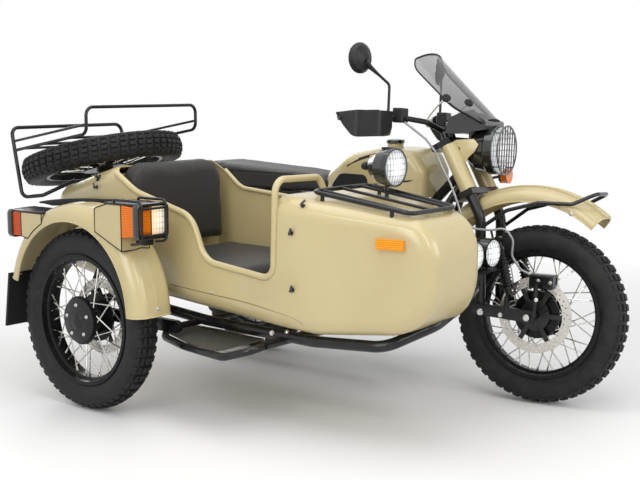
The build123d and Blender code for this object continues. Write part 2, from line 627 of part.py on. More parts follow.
with BuildPart() as bench_seat:
    base = SEAT_Z + SEAT_GAP
    outline = [(-272, base), (-276, 858), (-180, 872), (300, 846)]
    outline += [(470, 830), (566, 838), (560, 800), (470, base)]
    add(side_prism(outline, -SEAT_W / 2, SEAT_W / 2, {1: 30, 2: 200, 3: 300, 4: 200}))
    plan = [(-290, -118), (-200, -SEAT_W / 2), (330, -SEAT_W / 2), (600, -98)]
    plan = plan + [(x, -y) for x, y in reversed(plan)]
    add(plan_prism(plan, 700, 950, {1: 120, 2: 200, 5: 200, 6: 120}), mode=Mode.INTERSECT)
    edges = [e for e in bench_seat.edges() if e.center().Z > 826 and abs(e.center().Y) > 60]
    fillet([e for e in edges if e.center().X < 420], radius=20)
    add(fuel_tank.part, mode=Mode.SUBTRACT)
store("bench_seat", bench_seat.part)

with BuildPart() as knee_pads:
    for side in SIDES:
        pad = [(560, 786), (772, 790), (756, 858), (620, 858)]
        add(side_prism(pad, side * 140 - 20, side * 140 + 20, {0: 16, 1: 24, 2: 30, 3: 40}))
    add(fuel_tank.part, mode=Mode.SUBTRACT)
    far = plan_prism([(400, -400), (1100, -400), (1100, -154), (400, -148)], 700, 1000)
    add(far, mode=Mode.SUBTRACT)
    add(mirror(far, about=Plane.XZ), mode=Mode.SUBTRACT)
store("knee_pads", knee_pads.part)

with BuildPart() as rear_fender:
    add(fender(398, 152, 58, (0, 0, TYRE_R), 196, 160))
    for side in SIDES:
        add(rod((-150, side * 60, 688), (-150, side * (RAIL_Y - 3), 749), 7))
    add(bike_frame.part, mode=Mode.SUBTRACT)
store("rear_fender", rear_fender.part)

with BuildPart() as tail_lamp:
    add(block(-322, 0, 636, (84, 84, 76), 10))
    add(rod((-330, 0, 640), (-330, 190, 640), 6))
    add(rod((-340, 196, 640), (-302, 196, 640), 30))
    add(rear_fender.part, mode=Mode.SUBTRACT)
    inside = rod((0, -100, TYRE_R), (0, 100, TYRE_R), 396.5)
    add(inside, mode=Mode.SUBTRACT)
store("tail_lamp", tail_lamp.part)

# Sidecar tub and lid
LID_LOW = (-300.0, 792.0)
LID_HIGH = (150.0, 912.0)
COWL_X = 1012.0
COWL_Z = 850.0


def tub_form(inset):
    """The closed outside form of the tub, or the same form set in by a wall."""
    y0 = TUB_RIGHT + inset
    y1 = TUB_LEFT - inset
    i = inset
    side = [(-420 + i, 486 + i), (-420 + i, 760 - i)]
    side += [(LID_LOW[0], LID_LOW[1] - i), (LID_HIGH[0], LID_HIGH[1] - i)]
    side += [(COWL_X, COWL_Z - i), (1600 - i, 792 - i), (1592 - i, 412 + i), (1150, 372 + i)]
    plan = [(TUB_REAR + i, -478 - i), (TUB_REAR + i, -922 + i), (130, y0), (1060, y0), (1720, -872 + i)]
    plan += [(1720, -650 - i), (1060, y1), (130, y1)]
    with BuildPart() as made:
        add(side_prism(side, TUB_RIGHT - 50, TUB_LEFT + 50, {3: 60, 4: 300, 5: 150 - i, 6: 206 - i, 7: 300}))
        plan_rounds = {0: 150 - i, 1: 150 - i, 2: 300, 3: 900, 6: 900, 7: 300}
        add(plan_prism(plan, 300, 1000, plan_rounds), mode=Mode.INTERSECT)
        long_edges = made.edges().filter_by(Axis.Y, reverse=True).filter_by(Axis.Z, reverse=True)
        fillet(long_edges, radius=TUB_ROUND - inset)
    return made.part


def side_opening(points, rounds, y_from, y_to):
    """Everything above a rim line, over part of the width."""
    closed = points + [(points[-1][0], 1200), (points[0][0], 1200)]
    return side_prism(closed, y_from, y_to, rounds)


RIM_RIGHT = [(BULKHEAD_X, 904), (300, 822), (600, 748), (668, 590), (1000, 556), (COWL_X, 905)]
RIM_LEFT = [(BULKHEAD_X, 895), (290, 795), (640, 768), (1010, 768), (COWL_X, 905)]
RIGHT_ROUNDS = {1: 220, 2: 110, 3: 90, 4: 50}
LEFT_ROUNDS = {1: 150, 2: 400, 3: 50}
RIM_Y = TUB_RIGHT + TUB_T / 2
RIM_FAR = TUB_LEFT - TUB_T / 2
RIM_RUN = [(186, RIM_Y, 889)] + [(x, RIM_Y, z) for x, z in RIM_RIGHT[1:5]]
RIM_RUN += [(COWL_X, RIM_Y - 2, 905), (COWL_X - 6, -758, 900), (COWL_X + 4, -732, 838)]
RIM_BENDS = [220, 110, 90, 50, 46, 30]
FAR_RUN = [(x, RIM_FAR, z) for x, z in ((196, 867), (290, 795), (640, 768), (1000, 768))]
FAR_BENDS = [120, 400]
outside = tub_form(0)
shell_inside = tub_form(TUB_T)
lid_dir = (Vector(LID_HIGH[0], 0, LID_HIGH[1]) - Vector(LID_LOW[0], 0, LID_LOW[1])).normalized()
lid_up = Vector(-lid_dir.Z, 0, lid_dir.X)
LID_START = 14.0
LID_END = 438.0
HINGE = Vector(LID_LOW[0], 0, LID_LOW[1]) + lid_dir * (LID_START - 14) + lid_up * 9
LID_Y = -700.0
SPARE_ALONG = 85.0
SPARE_UP = 100.0
LID_W = 400.0
RACK_W = 600.0
LOW_RAIL = ((-450, 953), (18, 1036))
HIGH_RAIL = ((-457, 991), (18, 1073))
FRONT_HOOP_Z = 1140.0


def lid_column(grow):
    """The column through the trunk's top that the lid closes."""
    with BuildPart() as made:
        spot = Vector(LID_LOW[0], LID_Y, LID_LOW[1]) + lid_dir * ((LID_START + LID_END) / 2)
        with BuildSketch(Plane(spot - lid_up * 60, x_dir=lid_dir, z_dir=lid_up)):
            RectangleRounded(LID_END - LID_START + 2 * grow, LID_W + 2 * grow, 40 + grow)
        extrude(amount=120)
    return made.part


with BuildPart() as inner_walls:
    wall = [(BULKHEAD_X - 10, 400), (BULKHEAD_X, 400), (BULKHEAD_X, 880), (BULKHEAD_X - 10, 880)]
    add(side_prism(wall, TUB_RIGHT, TUB_LEFT))
    add(side_prism([(820, 370), (830, 370), (830, 448), (820, 448)], TUB_RIGHT, TUB_LEFT))
    add(side_prism([(155, 436), (200, 436), (200, 448), (155, 448)], TUB_RIGHT, TUB_LEFT))
    add(shell_inside, mode=Mode.INTERSECT)

with BuildPart() as sidecar_tub:
    add(outside)
    add(shell_inside, mode=Mode.SUBTRACT)
    add(side_opening(RIM_RIGHT, RIGHT_ROUNDS, -720, TUB_RIGHT - 100), mode=Mode.SUBTRACT)
    add(side_opening(RIM_LEFT, LEFT_ROUNDS, TUB_LEFT + 100, -720), mode=Mode.SUBTRACT)
    add(lid_column(LID_GAP), mode=Mode.SUBTRACT)
    add(tube(RIM_RUN, RIM_BENDS, RIM_TUBE_R + SEAT_GAP), mode=Mode.SUBTRACT)
    add(tube(FAR_RUN, FAR_BENDS, RIM_TUBE_R * 0.8 + SEAT_GAP), mode=Mode.SUBTRACT)
    add(inner_walls.part)
    for side in SIDES:
        y = LID_Y + side * 120
        for ear in SIDES:
            spot = HINGE + Vector(0, y + ear * 26, 0)
            add(rod(spot - Vector(0, 4, 0), spot + Vector(0, 4, 0), 8))
            add(block(spot.X - 4, spot.Y, spot.Z - 10, (12, 8, 18)))
        add(rod(HINGE + Vector(0, y - 26, 0), HINGE + Vector(0, y + 26, 0), 3))
store("sidecar_tub", sidecar_tub.part)

with BuildPart() as trunk_lid:
    add(outside)
    add(shell_inside, mode=Mode.SUBTRACT)
    add(lid_column(0), mode=Mode.INTERSECT)
    for side in SIDES:
        y = LID_Y + side * 120
        add(rod(HINGE + Vector(0, y - 20, 0), HINGE + Vector(0, y + 20, 0), 7))
        leaf = HINGE + lid_dir * 22 - lid_up * 6.4
        with Locations(Plane((leaf.X, y, leaf.Z), x_dir=lid_dir, z_dir=lid_up)):
            Box(44, 40, 4)
            with Locations((9, 0, -2)):
                Box(26, 40, 4)
        add(rod(HINGE + Vector(0, y - 30, 0), HINGE + Vector(0, y + 30, 0), 3.1), mode=Mode.SUBTRACT)
    post = Vector(LID_LOW[0], LID_Y, LID_LOW[1]) + lid_dir * SPARE_ALONG
    add(rod(post - lid_up * 3, post + lid_up * (SPARE_UP - HUB_H - SEAT_GAP), 30))
store("trunk_lid", trunk_lid.part)

hub_at = post + lid_up * SPARE_UP
spare_place = Location(Plane(hub_at, x_dir=lid_dir, z_dir=Vector(lid_dir).cross(lid_up)))
for name, shape in (("spare_tyre", tyre.part), ("spare_wheel", wire_wheel.part)):
    store(name, shape.moved(spare_place))


def at_lid(along, y, above):
    """A point given along the lid's slope and above its face."""
    spot = Vector(LID_LOW[0], y, LID_LOW[1]) + lid_dir * along + lid_up * above
    return (spot.X, spot.Y, spot.Z)


RACK_H = RACK_W / 2
with BuildPart() as luggage_rack:
    right = LID_Y - RACK_H
    foot = LID_Y - 150
    hoop = [at_lid(70, foot, SEAT_GAP), at_lid(70, foot, 22), (-318, right + 34, 768), (-412, right, 757)]
    hoop += [(-474, right, 1047)]
    hoop += [(x, 2 * LID_Y - y, z) for x, y, z in reversed(hoop)]
    add(tube(hoop, [12, 24, 30, 34, 34, 30, 24, 12], RACK_R))
    (xa, za), (xb, zb) = LOW_RAIL
    rails = [(xa, right, za), (xb, right, zb), (xb, right, FRONT_HOOP_Z)]
    rails += [(x, 2 * LID_Y - y, z) for x, y, z in reversed(rails)]
    add(tube(rails, 34, RACK_R * 0.85))
    for side in SIDES:
        y = LID_Y + side * RACK_H
        (xc, zc), (xd, zd) = HIGH_RAIL
        add(rod((xc, y, zc), (xd, y, zd), RACK_R * 0.7))
    for part in (0.12, 0.39, 0.75):
        x = xa + (xb - xa) * part
        z = za + (zb - za) * part
        add(rod((x, right, z), (x, right + RACK_W, z), RACK_R * 0.7))
    bolt = Vector(*at_lid(SPARE_ALONG, LID_Y, SPARE_UP))
    add(rod(bolt - lid_up * 40, bolt + lid_up * 72, AXLE_R - SEAT_GAP))
store("luggage_rack", luggage_rack.part)

# Sidecar fittings
with BuildPart() as cockpit_rim:
    add(tube(RIM_RUN, RIM_BENDS, RIM_TUBE_R))
    add(tube(FAR_RUN, FAR_BENDS, RIM_TUBE_R * 0.8))
store("cockpit_rim", cockpit_rim.part)

INSIDE_R = TUB_RIGHT + TUB_T + 22
INSIDE_L = TUB_LEFT - TUB_T - 22
with BuildPart() as seat_cushion:
    add(side_prism([(252, 448.3), (850, 448.3), (858, 566), (252, 574)], INSIDE_R, INSIDE_L, {1: 30, 2: 40}))
    fillet(seat_cushion.edges().filter_by(Axis.X), radius=24)
store("seat_cushion", seat_cushion.part)

BACK_TOP = 936.0
BACK_LEFT = -456.0
with BuildPart() as backrest:
    rear = BULKHEAD_X + SEAT_GAP
    pad = [(rear, 580), (256, 580), (238, 920), (202, BACK_TOP), (rear, BACK_TOP)]
    add(side_prism(pad, INSIDE_R, BACK_LEFT, {2: 30}))
    face = [(INSIDE_R, 560), (BACK_LEFT, 560), (BACK_LEFT, BACK_TOP), (INSIDE_R, BACK_TOP)]
    add(front_prism(face, 100, 300, {2: 90, 3: 100}), mode=Mode.INTERSECT)
store("backrest", backrest.part)

RACK_RIGHT = -926.0
RACK_LEFT = -594.0
NOSE_RACK = ((1112, 866), (1500, 813))
with BuildPart() as nose_rack:
    (xa, za), (xb, zb) = NOSE_RACK
    middle = (RACK_RIGHT + RACK_LEFT) / 2
    for edge, tuck in ((RACK_RIGHT, 36), (RACK_LEFT, -24)):
        add(tube(((xa, middle, za), (xa, edge, za), (xb, edge + tuck, zb), (xb, middle, zb)), 34, RACK_R))
    for n in (1, 3, 5):
        y = RACK_RIGHT + (RACK_LEFT - RACK_RIGHT) * n / 6
        add(rod((xa, y, za), (xb, y, zb), RACK_R * 0.7))
    for x, tuck in ((xa + 45, 0.12), (xb - 70, 0.82)):
        z = za + (zb - za) * tuck
        add(rod((x, RACK_RIGHT + 36 * tuck, z), (x, RACK_RIGHT + 36 * tuck, z - 80), RACK_R * 0.9))
        add(rod((x, RACK_LEFT - 24 * tuck, z), (x, RACK_LEFT - 24 * tuck, z - 80), RACK_R * 0.9))
    add(outside, mode=Mode.SUBTRACT)
store("nose_rack", nose_rack.part)

SPOT = Vector(1262, -640, 938)
LAMP_BAR_Z = 555.0
FOGS = (Vector(1462, -420, 614), Vector(1462, -303, 614))
SPOT_SHELL = [(0, -105), (34, -102), (60, -60), (69, -20), (69, 0), (62, 0), (62, -8), (0, -8)]
FOG_SHELL = [(0, -80), (34, -80), (34, -74), (49, -74), (49, -69), (38, -69), (38, -62), (51, -62)]
FOG_SHELL = FOG_SHELL + [(51, -57), (40, -57), (42, -48), (54, -40), (55, 0), (49, 0), (49, -7), (0, -7)]
with BuildPart() as aux_lamps:
    add(turned(SPOT_SHELL, SPOT, (1, 0, 0), (0, 0, 1)))
    add(rod(SPOT + Vector(-40, 0, -60), SPOT + Vector(-40, 0, -120), 8))
    for spot in FOGS:
        add(turned(FOG_SHELL, spot, (1, 0, 0), (0, 0, 1)))
        add(rod(spot + Vector(-24, 0, -46), (spot.X - 24, spot.Y, LAMP_BAR_Z + SEAT_GAP), 9))
    add(nose_rack.part, mode=Mode.SUBTRACT)
    add(outside, mode=Mode.SUBTRACT)
store("aux_lamps", aux_lamps.part)

FENDER_AT = Vector(WHEEL_LEAD - 3, -TRACK, TYRE_R + 58)
FENDER_SWEEP = (168, 168)
FENDER_SKIRT = 66.0
with BuildPart() as sidecar_fender:
    add(fender(FENDER_R, FENDER_W, FENDER_SKIRT, FENDER_AT, *FENDER_SWEEP))
    for x in (120, 310):
        add(rod((x, -TRACK + FENDER_W / 2 - 2, 742), (x, TUB_RIGHT + 10, 728), 9))
    add(outside, mode=Mode.SUBTRACT)
store("sidecar_fender", sidecar_fender.part)
core = fender_core(FENDER_R, FENDER_W, FENDER_SKIRT, FENDER_AT, *FENDER_SWEEP)

# Corner lamps on the sidecar fender: pod in side view, then its lens
POD_Y = (-TRACK - FENDER_W / 2, -TRACK + 40.0)
LENS_Y = -TRACK - 25.0
FRONT_POD = [(372, 700), (516, 640), (516, 806), (440, 806), (372, 786)]
FRONT_LENS = [(516 + SEAT_GAP, 690), (600, 700), (600, 800), (516 + SEAT_GAP, 806)]
REAR_POD = [(60, 742), (-66, 742), (-66, 648), (-20, 640), (60, 690)]
REAR_LENS = [(-66 - SEAT_GAP, 742), (-136, 736), (-136, 650), (-66 - SEAT_GAP, 648)]
with BuildPart() as corner_lamps:
    add(side_prism(FRONT_POD, *POD_Y, {3: 20, 4: 12}))
    add(side_prism(REAR_POD, *POD_Y))
    add(core, mode=Mode.SUBTRACT)
    low_parts = [solid for solid in corner_lamps.solids() if solid.center().Z < 600]
    for scrap in low_parts:
        add(scrap, mode=Mode.SUBTRACT)
store("corner_lamps", corner_lamps.part)

with BuildPart() as lamp_guards:
    for y in (POD_Y[0] + 8, POD_Y[1] - 8):
        hoop = ((470, y, 806 + SEAT_GAP), (470, y, 822), (616, y, 822), (616, y, 676), (560, y, 668))
        add(tube(hoop, [8, 22, 22], 5))
    for z in (700, 796):
        add(rod((616, POD_Y[0] + 8, z), (616, POD_Y[1] - 8, z), 4.5))
store("lamp_guards", lamp_guards.part)

with BuildPart() as lamp_glasses:
    for spot, r, back in ((SPOT, 61.7, 1), (FOGS[0], 48.7, 0), (FOGS[1], 48.7, 0)):
        dome = [(0, -6.7), (r, -6.7), (r, 0), (r * 0.6, 7), (0, 9)]
        add(turned(dome, spot - Vector(back, 0, 0), (1, 0, 0), (0, 0, 1)))
    add(side_prism(FRONT_LENS, LENS_Y + SEAT_GAP, POD_Y[1], {1: 14, 2: 14}))
store("lamp_glasses", lamp_glasses.part)

MARKER = Vector(1448, -925, 712)
with BuildPart() as amber_lenses:
    add(side_prism(FRONT_LENS, POD_Y[0], LENS_Y, {1: 14, 2: 14}))
    add(side_prism(REAR_LENS, *POD_Y, {1: 14, 2: 14}))
    with Locations(Plane(MARKER, x_dir=(0.98, 0.19, 0), z_dir=(0, 0, 1))):
        Box(98, 30, 34)
    add(outside, mode=Mode.SUBTRACT)
    add(core, mode=Mode.SUBTRACT)
store("amber_lenses", amber_lenses.part)

with BuildPart() as mudflap:
    flap = [(-170, 492), (-158, 492), (-190, 276), (-202, 276)]
    add(side_prism(flap, -TRACK - 86, -TRACK + 86))
    add(sidecar_fender.part, mode=Mode.SUBTRACT)
store("mudflap", mudflap.part)

with BuildPart() as side_strip:
    strip = [(-240, 750), (-45, 772), (232, 790), (236, 784), (-30, 752), (-150, 742)]
    add(side_prism(strip, -1046, -960))
    add(outside, mode=Mode.SUBTRACT)
store("side_strip", side_strip.part)

PLATE_Z = 302.0
STEP_TUBE_R = 14.0
with BuildPart() as step_plate:
    tread = [(488, -880), (488, -1024), (650, -1088), (760, -1124), (850, -1124), (850, -880)]
    add(plan_prism(tread, PLATE_Z, PLATE_Z + 5, {1: 12, 3: 40, 4: 30}))
store("step_plate", step_plate.part)

SIDE_PIVOT = Vector(575, SIDE_ARM_Y, 345)
with BuildPart() as sidecar_arm:
    lever = [(SIDE_PIVOT.X + 24, 322), (SIDE_PIVOT.X + 24, 368)]
    lever += [(WHEEL_LEAD - 26, TYRE_R + 24), (WHEEL_LEAD - 26, TYRE_R - 24)]
    add(side_prism(lever, SIDE_ARM_Y - 10, SIDE_ARM_Y + 10, {0: 20, 1: 20, 2: 22, 3: 22}))
    add(rod((WHEEL_LEAD, SIDE_ARM_Y, TYRE_R), (WHEEL_LEAD, -TRACK - HUB_H - 12, TYRE_R), AXLE_R))
    add(rod((WHEEL_LEAD, SIDE_ARM_Y, TYRE_R), (WHEEL_LEAD, -TRACK + HUB_H + 12, TYRE_R), AXLE_R + 7))
    add(rod((WHEEL_LEAD + 70, SIDE_ARM_Y, 372), (WHEEL_LEAD + 70, SIDE_ARM_Y + 46, 372), STUD_R))
    add(rod((WHEEL_LEAD + 70, SIDE_ARM_Y, 350), (WHEEL_LEAD + 70, SIDE_ARM_Y, 376), 9))
    add(rod(SIDE_PIVOT - Vector(0, 30, 0), SIDE_PIVOT + Vector(0, 30, 0), 12 + AXLE_FIT), mode=Mode.SUBTRACT)
store("sidecar_arm", sidecar_arm.part)

with BuildPart() as sidecar_frame:
    main_run = [(60, -925, 392), (600, -930, 352), (1120, -930, 344), (1400, -888, 356), (1500, -730, 420)]
    main_run += [(1490, -540, 470), (1400, -330, 480), (992, -118, 420)]
    add(tube(main_run, [200, 200, 100, 90, 90, 60], FRAME_TUBE_R))
    add(tube(((60, -432, 396), (600, -432, 350), (1010, -432, 328)), 200, 18))
    for x, z, y_out in ((990, 330, -1036), (120, 390, -1046), (575, 345, -1080)):
        add(rod((x, -425, z), (x, y_out, z), 17 if y_out > -1070 else 12))
    edge_z = PLATE_Z - SEAT_GAP - STEP_TUBE_R
    step_run = [(990, -1000, 330), (978, -1090, 318), (880, -1130, edge_z), (650, -1094, edge_z)]
    step_run += [(478, -1030, edge_z), (440, -960, 330)]
    add(tube(step_run, [40, 60, 90, 40], STEP_TUBE_R))
    add(tube(((120, -1030, 390), (130, -1070, 470), (WHEEL_LEAD + 10, -1070, 640)), 40, 11))
    add(rod((WHEEL_LEAD + 10, -1074, 640), (WHEEL_LEAD + 10, -1016, 640), STUD_R))
    add(rod((400, -430, 372), (410, -112, 400), 16))
    add(rod((940, -430, 335), (1030, -88, 640), 12))
    add(rod((230, -430, 382), (150, -112, 500), 12))
    add(rod((1424, -385, 472), (1438, -372, LAMP_BAR_Z - 4), 14))
    add(block(1438, -362, LAMP_BAR_Z - 6, (36, 190, 12)))
    add(bike_frame.part, mode=Mode.SUBTRACT)
    add(outside, mode=Mode.SUBTRACT)
store("sidecar_frame", sidecar_frame.part)

with BuildPart() as headlamp_guard:
    with BuildSketch(Plane((LAMP_X + 26, 0, LAMP_Z), x_dir=(0, 1, 0), z_dir=(1, 0, 0))):
        Circle(LAMP_R + 1)
        Circle(LAMP_R - 6, mode=Mode.SUBTRACT)
        for n in range(-3, 4):
            reach = 2 * ((LAMP_R - 4) ** 2 - (24 * n) ** 2) ** 0.5
            with Locations((24 * n, 0)):
                Rectangle(2.6, reach)
            with Locations((0, 24 * n)):
                Rectangle(reach, 2.6)
    extrude(amount=4)
    for n in range(4):
        a = radians(45 + 90 * n)
        y = (LAMP_R - 3) * cos(a)
        z = LAMP_Z + (LAMP_R - 3) * sin(a)
        add(rod((LAMP_X + SEAT_GAP, y, z), (LAMP_X + 26, y, z), 2.4))
store("headlamp_guard", headlamp_guard.part, True)
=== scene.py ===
"""The looks of a sidecar motorcycle: sand gloss paint, black tubes, block-tread tyres and stuffed seats."""
import math

import bpy
from mathutils import Matrix, Vector


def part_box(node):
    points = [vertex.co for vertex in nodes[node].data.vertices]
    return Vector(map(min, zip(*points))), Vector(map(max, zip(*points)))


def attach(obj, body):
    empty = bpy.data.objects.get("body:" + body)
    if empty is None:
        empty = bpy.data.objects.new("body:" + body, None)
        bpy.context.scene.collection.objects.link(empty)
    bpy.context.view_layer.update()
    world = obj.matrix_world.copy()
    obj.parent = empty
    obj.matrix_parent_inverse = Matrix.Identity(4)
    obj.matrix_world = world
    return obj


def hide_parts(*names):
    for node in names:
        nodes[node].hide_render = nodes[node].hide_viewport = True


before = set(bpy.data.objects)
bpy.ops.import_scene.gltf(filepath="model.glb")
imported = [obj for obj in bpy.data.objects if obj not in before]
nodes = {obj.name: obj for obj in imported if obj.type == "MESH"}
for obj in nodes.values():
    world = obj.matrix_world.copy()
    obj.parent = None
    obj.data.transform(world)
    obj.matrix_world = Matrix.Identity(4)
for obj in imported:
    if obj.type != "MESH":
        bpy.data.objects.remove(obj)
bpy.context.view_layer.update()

# Where the photograph was taken from, in the row's frame
CAMERA_AT = (2.982, -3.4846, 1.228)
CAMERA_YAW = 129.39
CAMERA_PITCH = -7.73
CAMERA_LENS = 64.46
SENSOR = 36.0
PHOTO_W = 640
PHOTO_H = 480

# Bike frame to row frame: the rear axle's foot is this far behind and to the left of the middle
REAR_AXLE = Vector((-0.629, 0.4384, 0.0))

# Tyres and wheels, in metres
TYRE_R = 0.345
TYRE_W = 0.108
TYRE_SEAT_R = 0.2406
LUG_DEEP = 0.0105
LUG_ROOT = 0.008
LUG_TAPER = 0.86
LUG_SOFT = 0.0014
LUGS = 54
CROWN_DROP = 0.0195
CROWN_REACH = 0.049
RIM_R = 0.250
HUB_R = 0.092
SPOKES = 40
SPOKE_LEAN = math.radians(38.0)
SPOKE_HUB = (0.088, 0.0405)
SPOKE_RIM = (0.226, 0.007)
DISC_MID = 0.0608
HOLE_R = 0.0034
TYRE_ROLL = 0.03
LID_SLOPE = math.radians(14.93)
AXLE_WAY = Vector((0, 1, 0))

# The fork's raked axis and the turn that the front stands at
RAKE = math.radians(29.0)
STEER = math.radians(8.0)
FORK_AXIS = Vector((-math.sin(RAKE), 0, math.cos(RAKE)))
HEAD = (1121, 0, 893)


def at(x, y, z):
    """A point given in millimetres from the rear axle's foot, as the part's drawings give it."""
    return REAR_AXLE + Vector((x, y, z)) / 1000


FORK_TURN = Matrix.Rotation(STEER, 4, FORK_AXIS)
STEERED = Matrix.Translation(at(*HEAD)) @ FORK_TURN @ Matrix.Translation(-at(*HEAD))


def placed(name, data):
    """A new object in the scene."""
    item = bpy.data.objects.new(name, data)
    bpy.context.scene.collection.objects.link(item)
    return item


# Camera and light
def camera_aim():
    """The way the camera looks."""
    yaw, pitch = math.radians(CAMERA_YAW), math.radians(CAMERA_PITCH)
    return Vector((math.cos(yaw) * math.cos(pitch), math.sin(yaw) * math.cos(pitch), math.sin(pitch)))


def look():
    """The photograph's camera."""
    lens = bpy.data.cameras.new("photo_lens")
    lens.lens = CAMERA_LENS
    lens.sensor_width = SENSOR
    camera = placed("photo_camera", lens)
    camera.location = CAMERA_AT
    camera.rotation_euler = camera_aim().to_track_quat("-Z", "Y").to_euler()
    bpy.context.scene.camera = camera


def soft_box(name, place, target, size, power):
    """A studio light aimed at a point, as wide and as tall as its two sizes."""
    lamp = bpy.data.lights.new(name, "AREA")
    lamp.shape = "RECTANGLE"
    lamp.energy = power
    lamp.size, lamp.size_y = size
    holder = placed(name, lamp)
    holder.location = place
    holder.rotation_euler = (Vector(target) - Vector(place)).to_track_quat("-Z", "Y").to_euler()


look()
soft_box("top_box", (0.4, -0.6, 3.6), (0, 0, 0.3), (3.0, 3.0), 56)
soft_box("right_box", (1.2, -4.4, 2.4), (0, -0.2, 0.5), (2.4, 2.4), 54)
soft_box("front_box", (4.4, 0.6, 2.0), (0.3, 0, 0.6), (2.0, 2.0), 40)
soft_box("rear_box", (-3.6, 1.8, 2.2), (0, 0, 0.6), (2.0, 2.0), 30)
soft_box("side_strip", (0.6, -3.2, 2.9), (0.0, -0.6, 0.5), (2.2, 0.16), 13)
soft_box("front_strip", (2.9, -1.4, 2.6), (0.2, -0.5, 0.6), (0.16, 2.0), 13)


class Wire:
    """An output socket of a node tree; arithmetic on it adds Math nodes."""

    def __init__(self, tree, socket):
        self.tree = tree
        self.socket = socket

    def calc(self, operation, first, second=0.0):
        maths = self.tree.nodes.new("ShaderNodeMath")
        maths.operation = operation
        for socket, value in zip(maths.inputs, (first, second)):
            plug(self.tree, socket, value)
        return Wire(self.tree, maths.outputs[0])

    def __add__(self, other):
        return self.calc("ADD", self, other)

    def __sub__(self, other):
        return self.calc("SUBTRACT", self, other)

    def __mul__(self, other):
        return self.calc("MULTIPLY", self, other)

    def __rsub__(self, other):
        return self.calc("SUBTRACT", other, self)

    __radd__ = __add__
    __rmul__ = __mul__

    def above(self, limit):
        return self.calc("GREATER_THAN", self, limit)

    def below(self, limit):
        return self.calc("LESS_THAN", self, limit)

    def power(self, exponent):
        return self.calc("POWER", self, exponent)

    def wave(self, pitch):
        return self.calc("SINE", self * (2 * math.pi / pitch))

    def top(self, other):
        return self.calc("MAXIMUM", self, other)

    def size(self):
        return self.calc("ABSOLUTE", self)


def plug(tree, socket, value):
    """Link a wire to a socket, or set the socket's own value."""
    if isinstance(value, Wire):
        tree.links.new(value.socket, socket)
    else:
        socket.default_value = value


class Finish:
    """A procedural material on one Principled shader."""

    def __init__(self, name, base, rough, metal=0.0, **fixed):
        self.material = bpy.data.materials.new(name)
        self.material.use_nodes = True
        self.tree = self.material.node_tree
        self.shader = self.tree.nodes["Principled BSDF"]
        self.set("Base Color", (*base, 1.0))
        self.set("Roughness", rough)
        self.set("Metallic", metal)
        for socket, value in fixed.items():
            self.set(socket.replace("_", " "), value)
        self.place = self.node("ShaderNodeTexCoord", out="Object")

    def set(self, socket, value):
        plug(self.tree, self.shader.inputs[socket], value)

    def node(self, kind, settings=None, sockets=None, out=0):
        made = self.tree.nodes.new(kind)
        for key, value in (settings or {}).items():
            setattr(made, key, value)
        for key, value in (sockets or {}).items():
            plug(self.tree, made.inputs[key], value)
        return Wire(self.tree, made.outputs[out])

    def noise(self, scale, detail):
        return self.node("ShaderNodeTexNoise", None, {"Vector": self.place, "Scale": scale, "Detail": detail})

    def cells(self, scale, feature="F1"):
        sockets = {"Vector": self.place, "Scale": scale}
        return self.node("ShaderNodeTexVoronoi", {"feature": feature}, sockets, "Distance")

    def spread(self, value, low, high):
        """A value's place between two limits, from 0 to 1."""
        sockets = {"Value": value, "From Min": low, "From Max": high}
        return self.node("ShaderNodeMapRange", {"clamp": True}, sockets)

    def mix(self, amount, first, second):
        """A colour between two, each a wire or three numbers."""
        ends = [c if isinstance(c, Wire) else (*c, 1.0) for c in (first, second)]
        sockets = {0: amount, 6: ends[0], 7: ends[1]}
        return self.node("ShaderNodeMix", {"data_type": "RGBA"}, sockets, 2)

    def bump(self, height, depth, strength=1.0):
        sockets = {"Height": height, "Distance": depth, "Strength": strength}
        self.set("Normal", self.node("ShaderNodeBump", None, sockets, "Normal"))

    def vector(self, operation, first, second=None, out="Vector"):
        """A Vector Math node on one or two vectors."""
        sockets = {0: first}
        if second is not None:
            sockets[1] = tuple(second)
        return self.node("ShaderNodeVectorMath", {"operation": operation}, sockets, out)

    def coordinate(self, letter):
        return self.node("ShaderNodeSeparateXYZ", None, {"Vector": self.place}, letter)

    def away(self, origin):
        """The way from a point, as a vector wire."""
        return self.vector("SUBTRACT", self.place, origin)

    def reach(self, origin):
        """Distance from a point, as a wire."""
        return self.vector("LENGTH", self.away(origin), out="Value")

    def along(self, origin, direction):
        """Distance from a plane through a point, as a wire."""
        return self.vector("DOT_PRODUCT", self.away(origin), direction, "Value")

    def off_axle(self, centre, axis):
        """Distance from an axle line, as a wire."""
        reach = self.reach(centre)
        along = self.along(centre, axis)
        return (reach * reach - along * along).top(0.0).power(0.5)


# Finishes
SAND = (0.545, 0.452, 0.235)
SAND_SHADE = (0.505, 0.415, 0.212)
BLACK = (0.012, 0.012, 0.013)

# Where one node's finish changes: front foot of the air box, and the lens planes of the lamps
AIR_BOX_FOOT = at(606, 0, 556)
CORNER_LENS_END = at(700, 0, 0).x
CORNER_LENS_Y = (at(0, -1150, 0).y, at(0, -1200, 0).y)
REAR_LENSES_END = at(0, 0, 0).x
NOSE_LENS_START = at(1000, 0, 0).x
TAIL_LENS = at(-344, 60, 0)
TAIL_TURN_LENS = at(-316, 160, 0)


def sand_gloss():
    """Gloss sand enamel with a faint orange peel and slow shifts of tone."""
    enamel = Finish("sand_gloss", SAND, 0.3, Coat_Weight=0.45, Coat_Roughness=0.08)
    cloud = enamel.spread(enamel.noise(3.0, 3.0), 0.35, 0.65)
    speck = enamel.noise(900.0, 1.0)
    enamel.set("Base Color", enamel.mix(cloud, SAND_SHADE, SAND))
    enamel.set("Roughness", 0.25 + cloud * 0.05 + speck * 0.05)
    enamel.bump(enamel.noise(160.0, 2.0), 0.0004, 0.25)
    return enamel.material


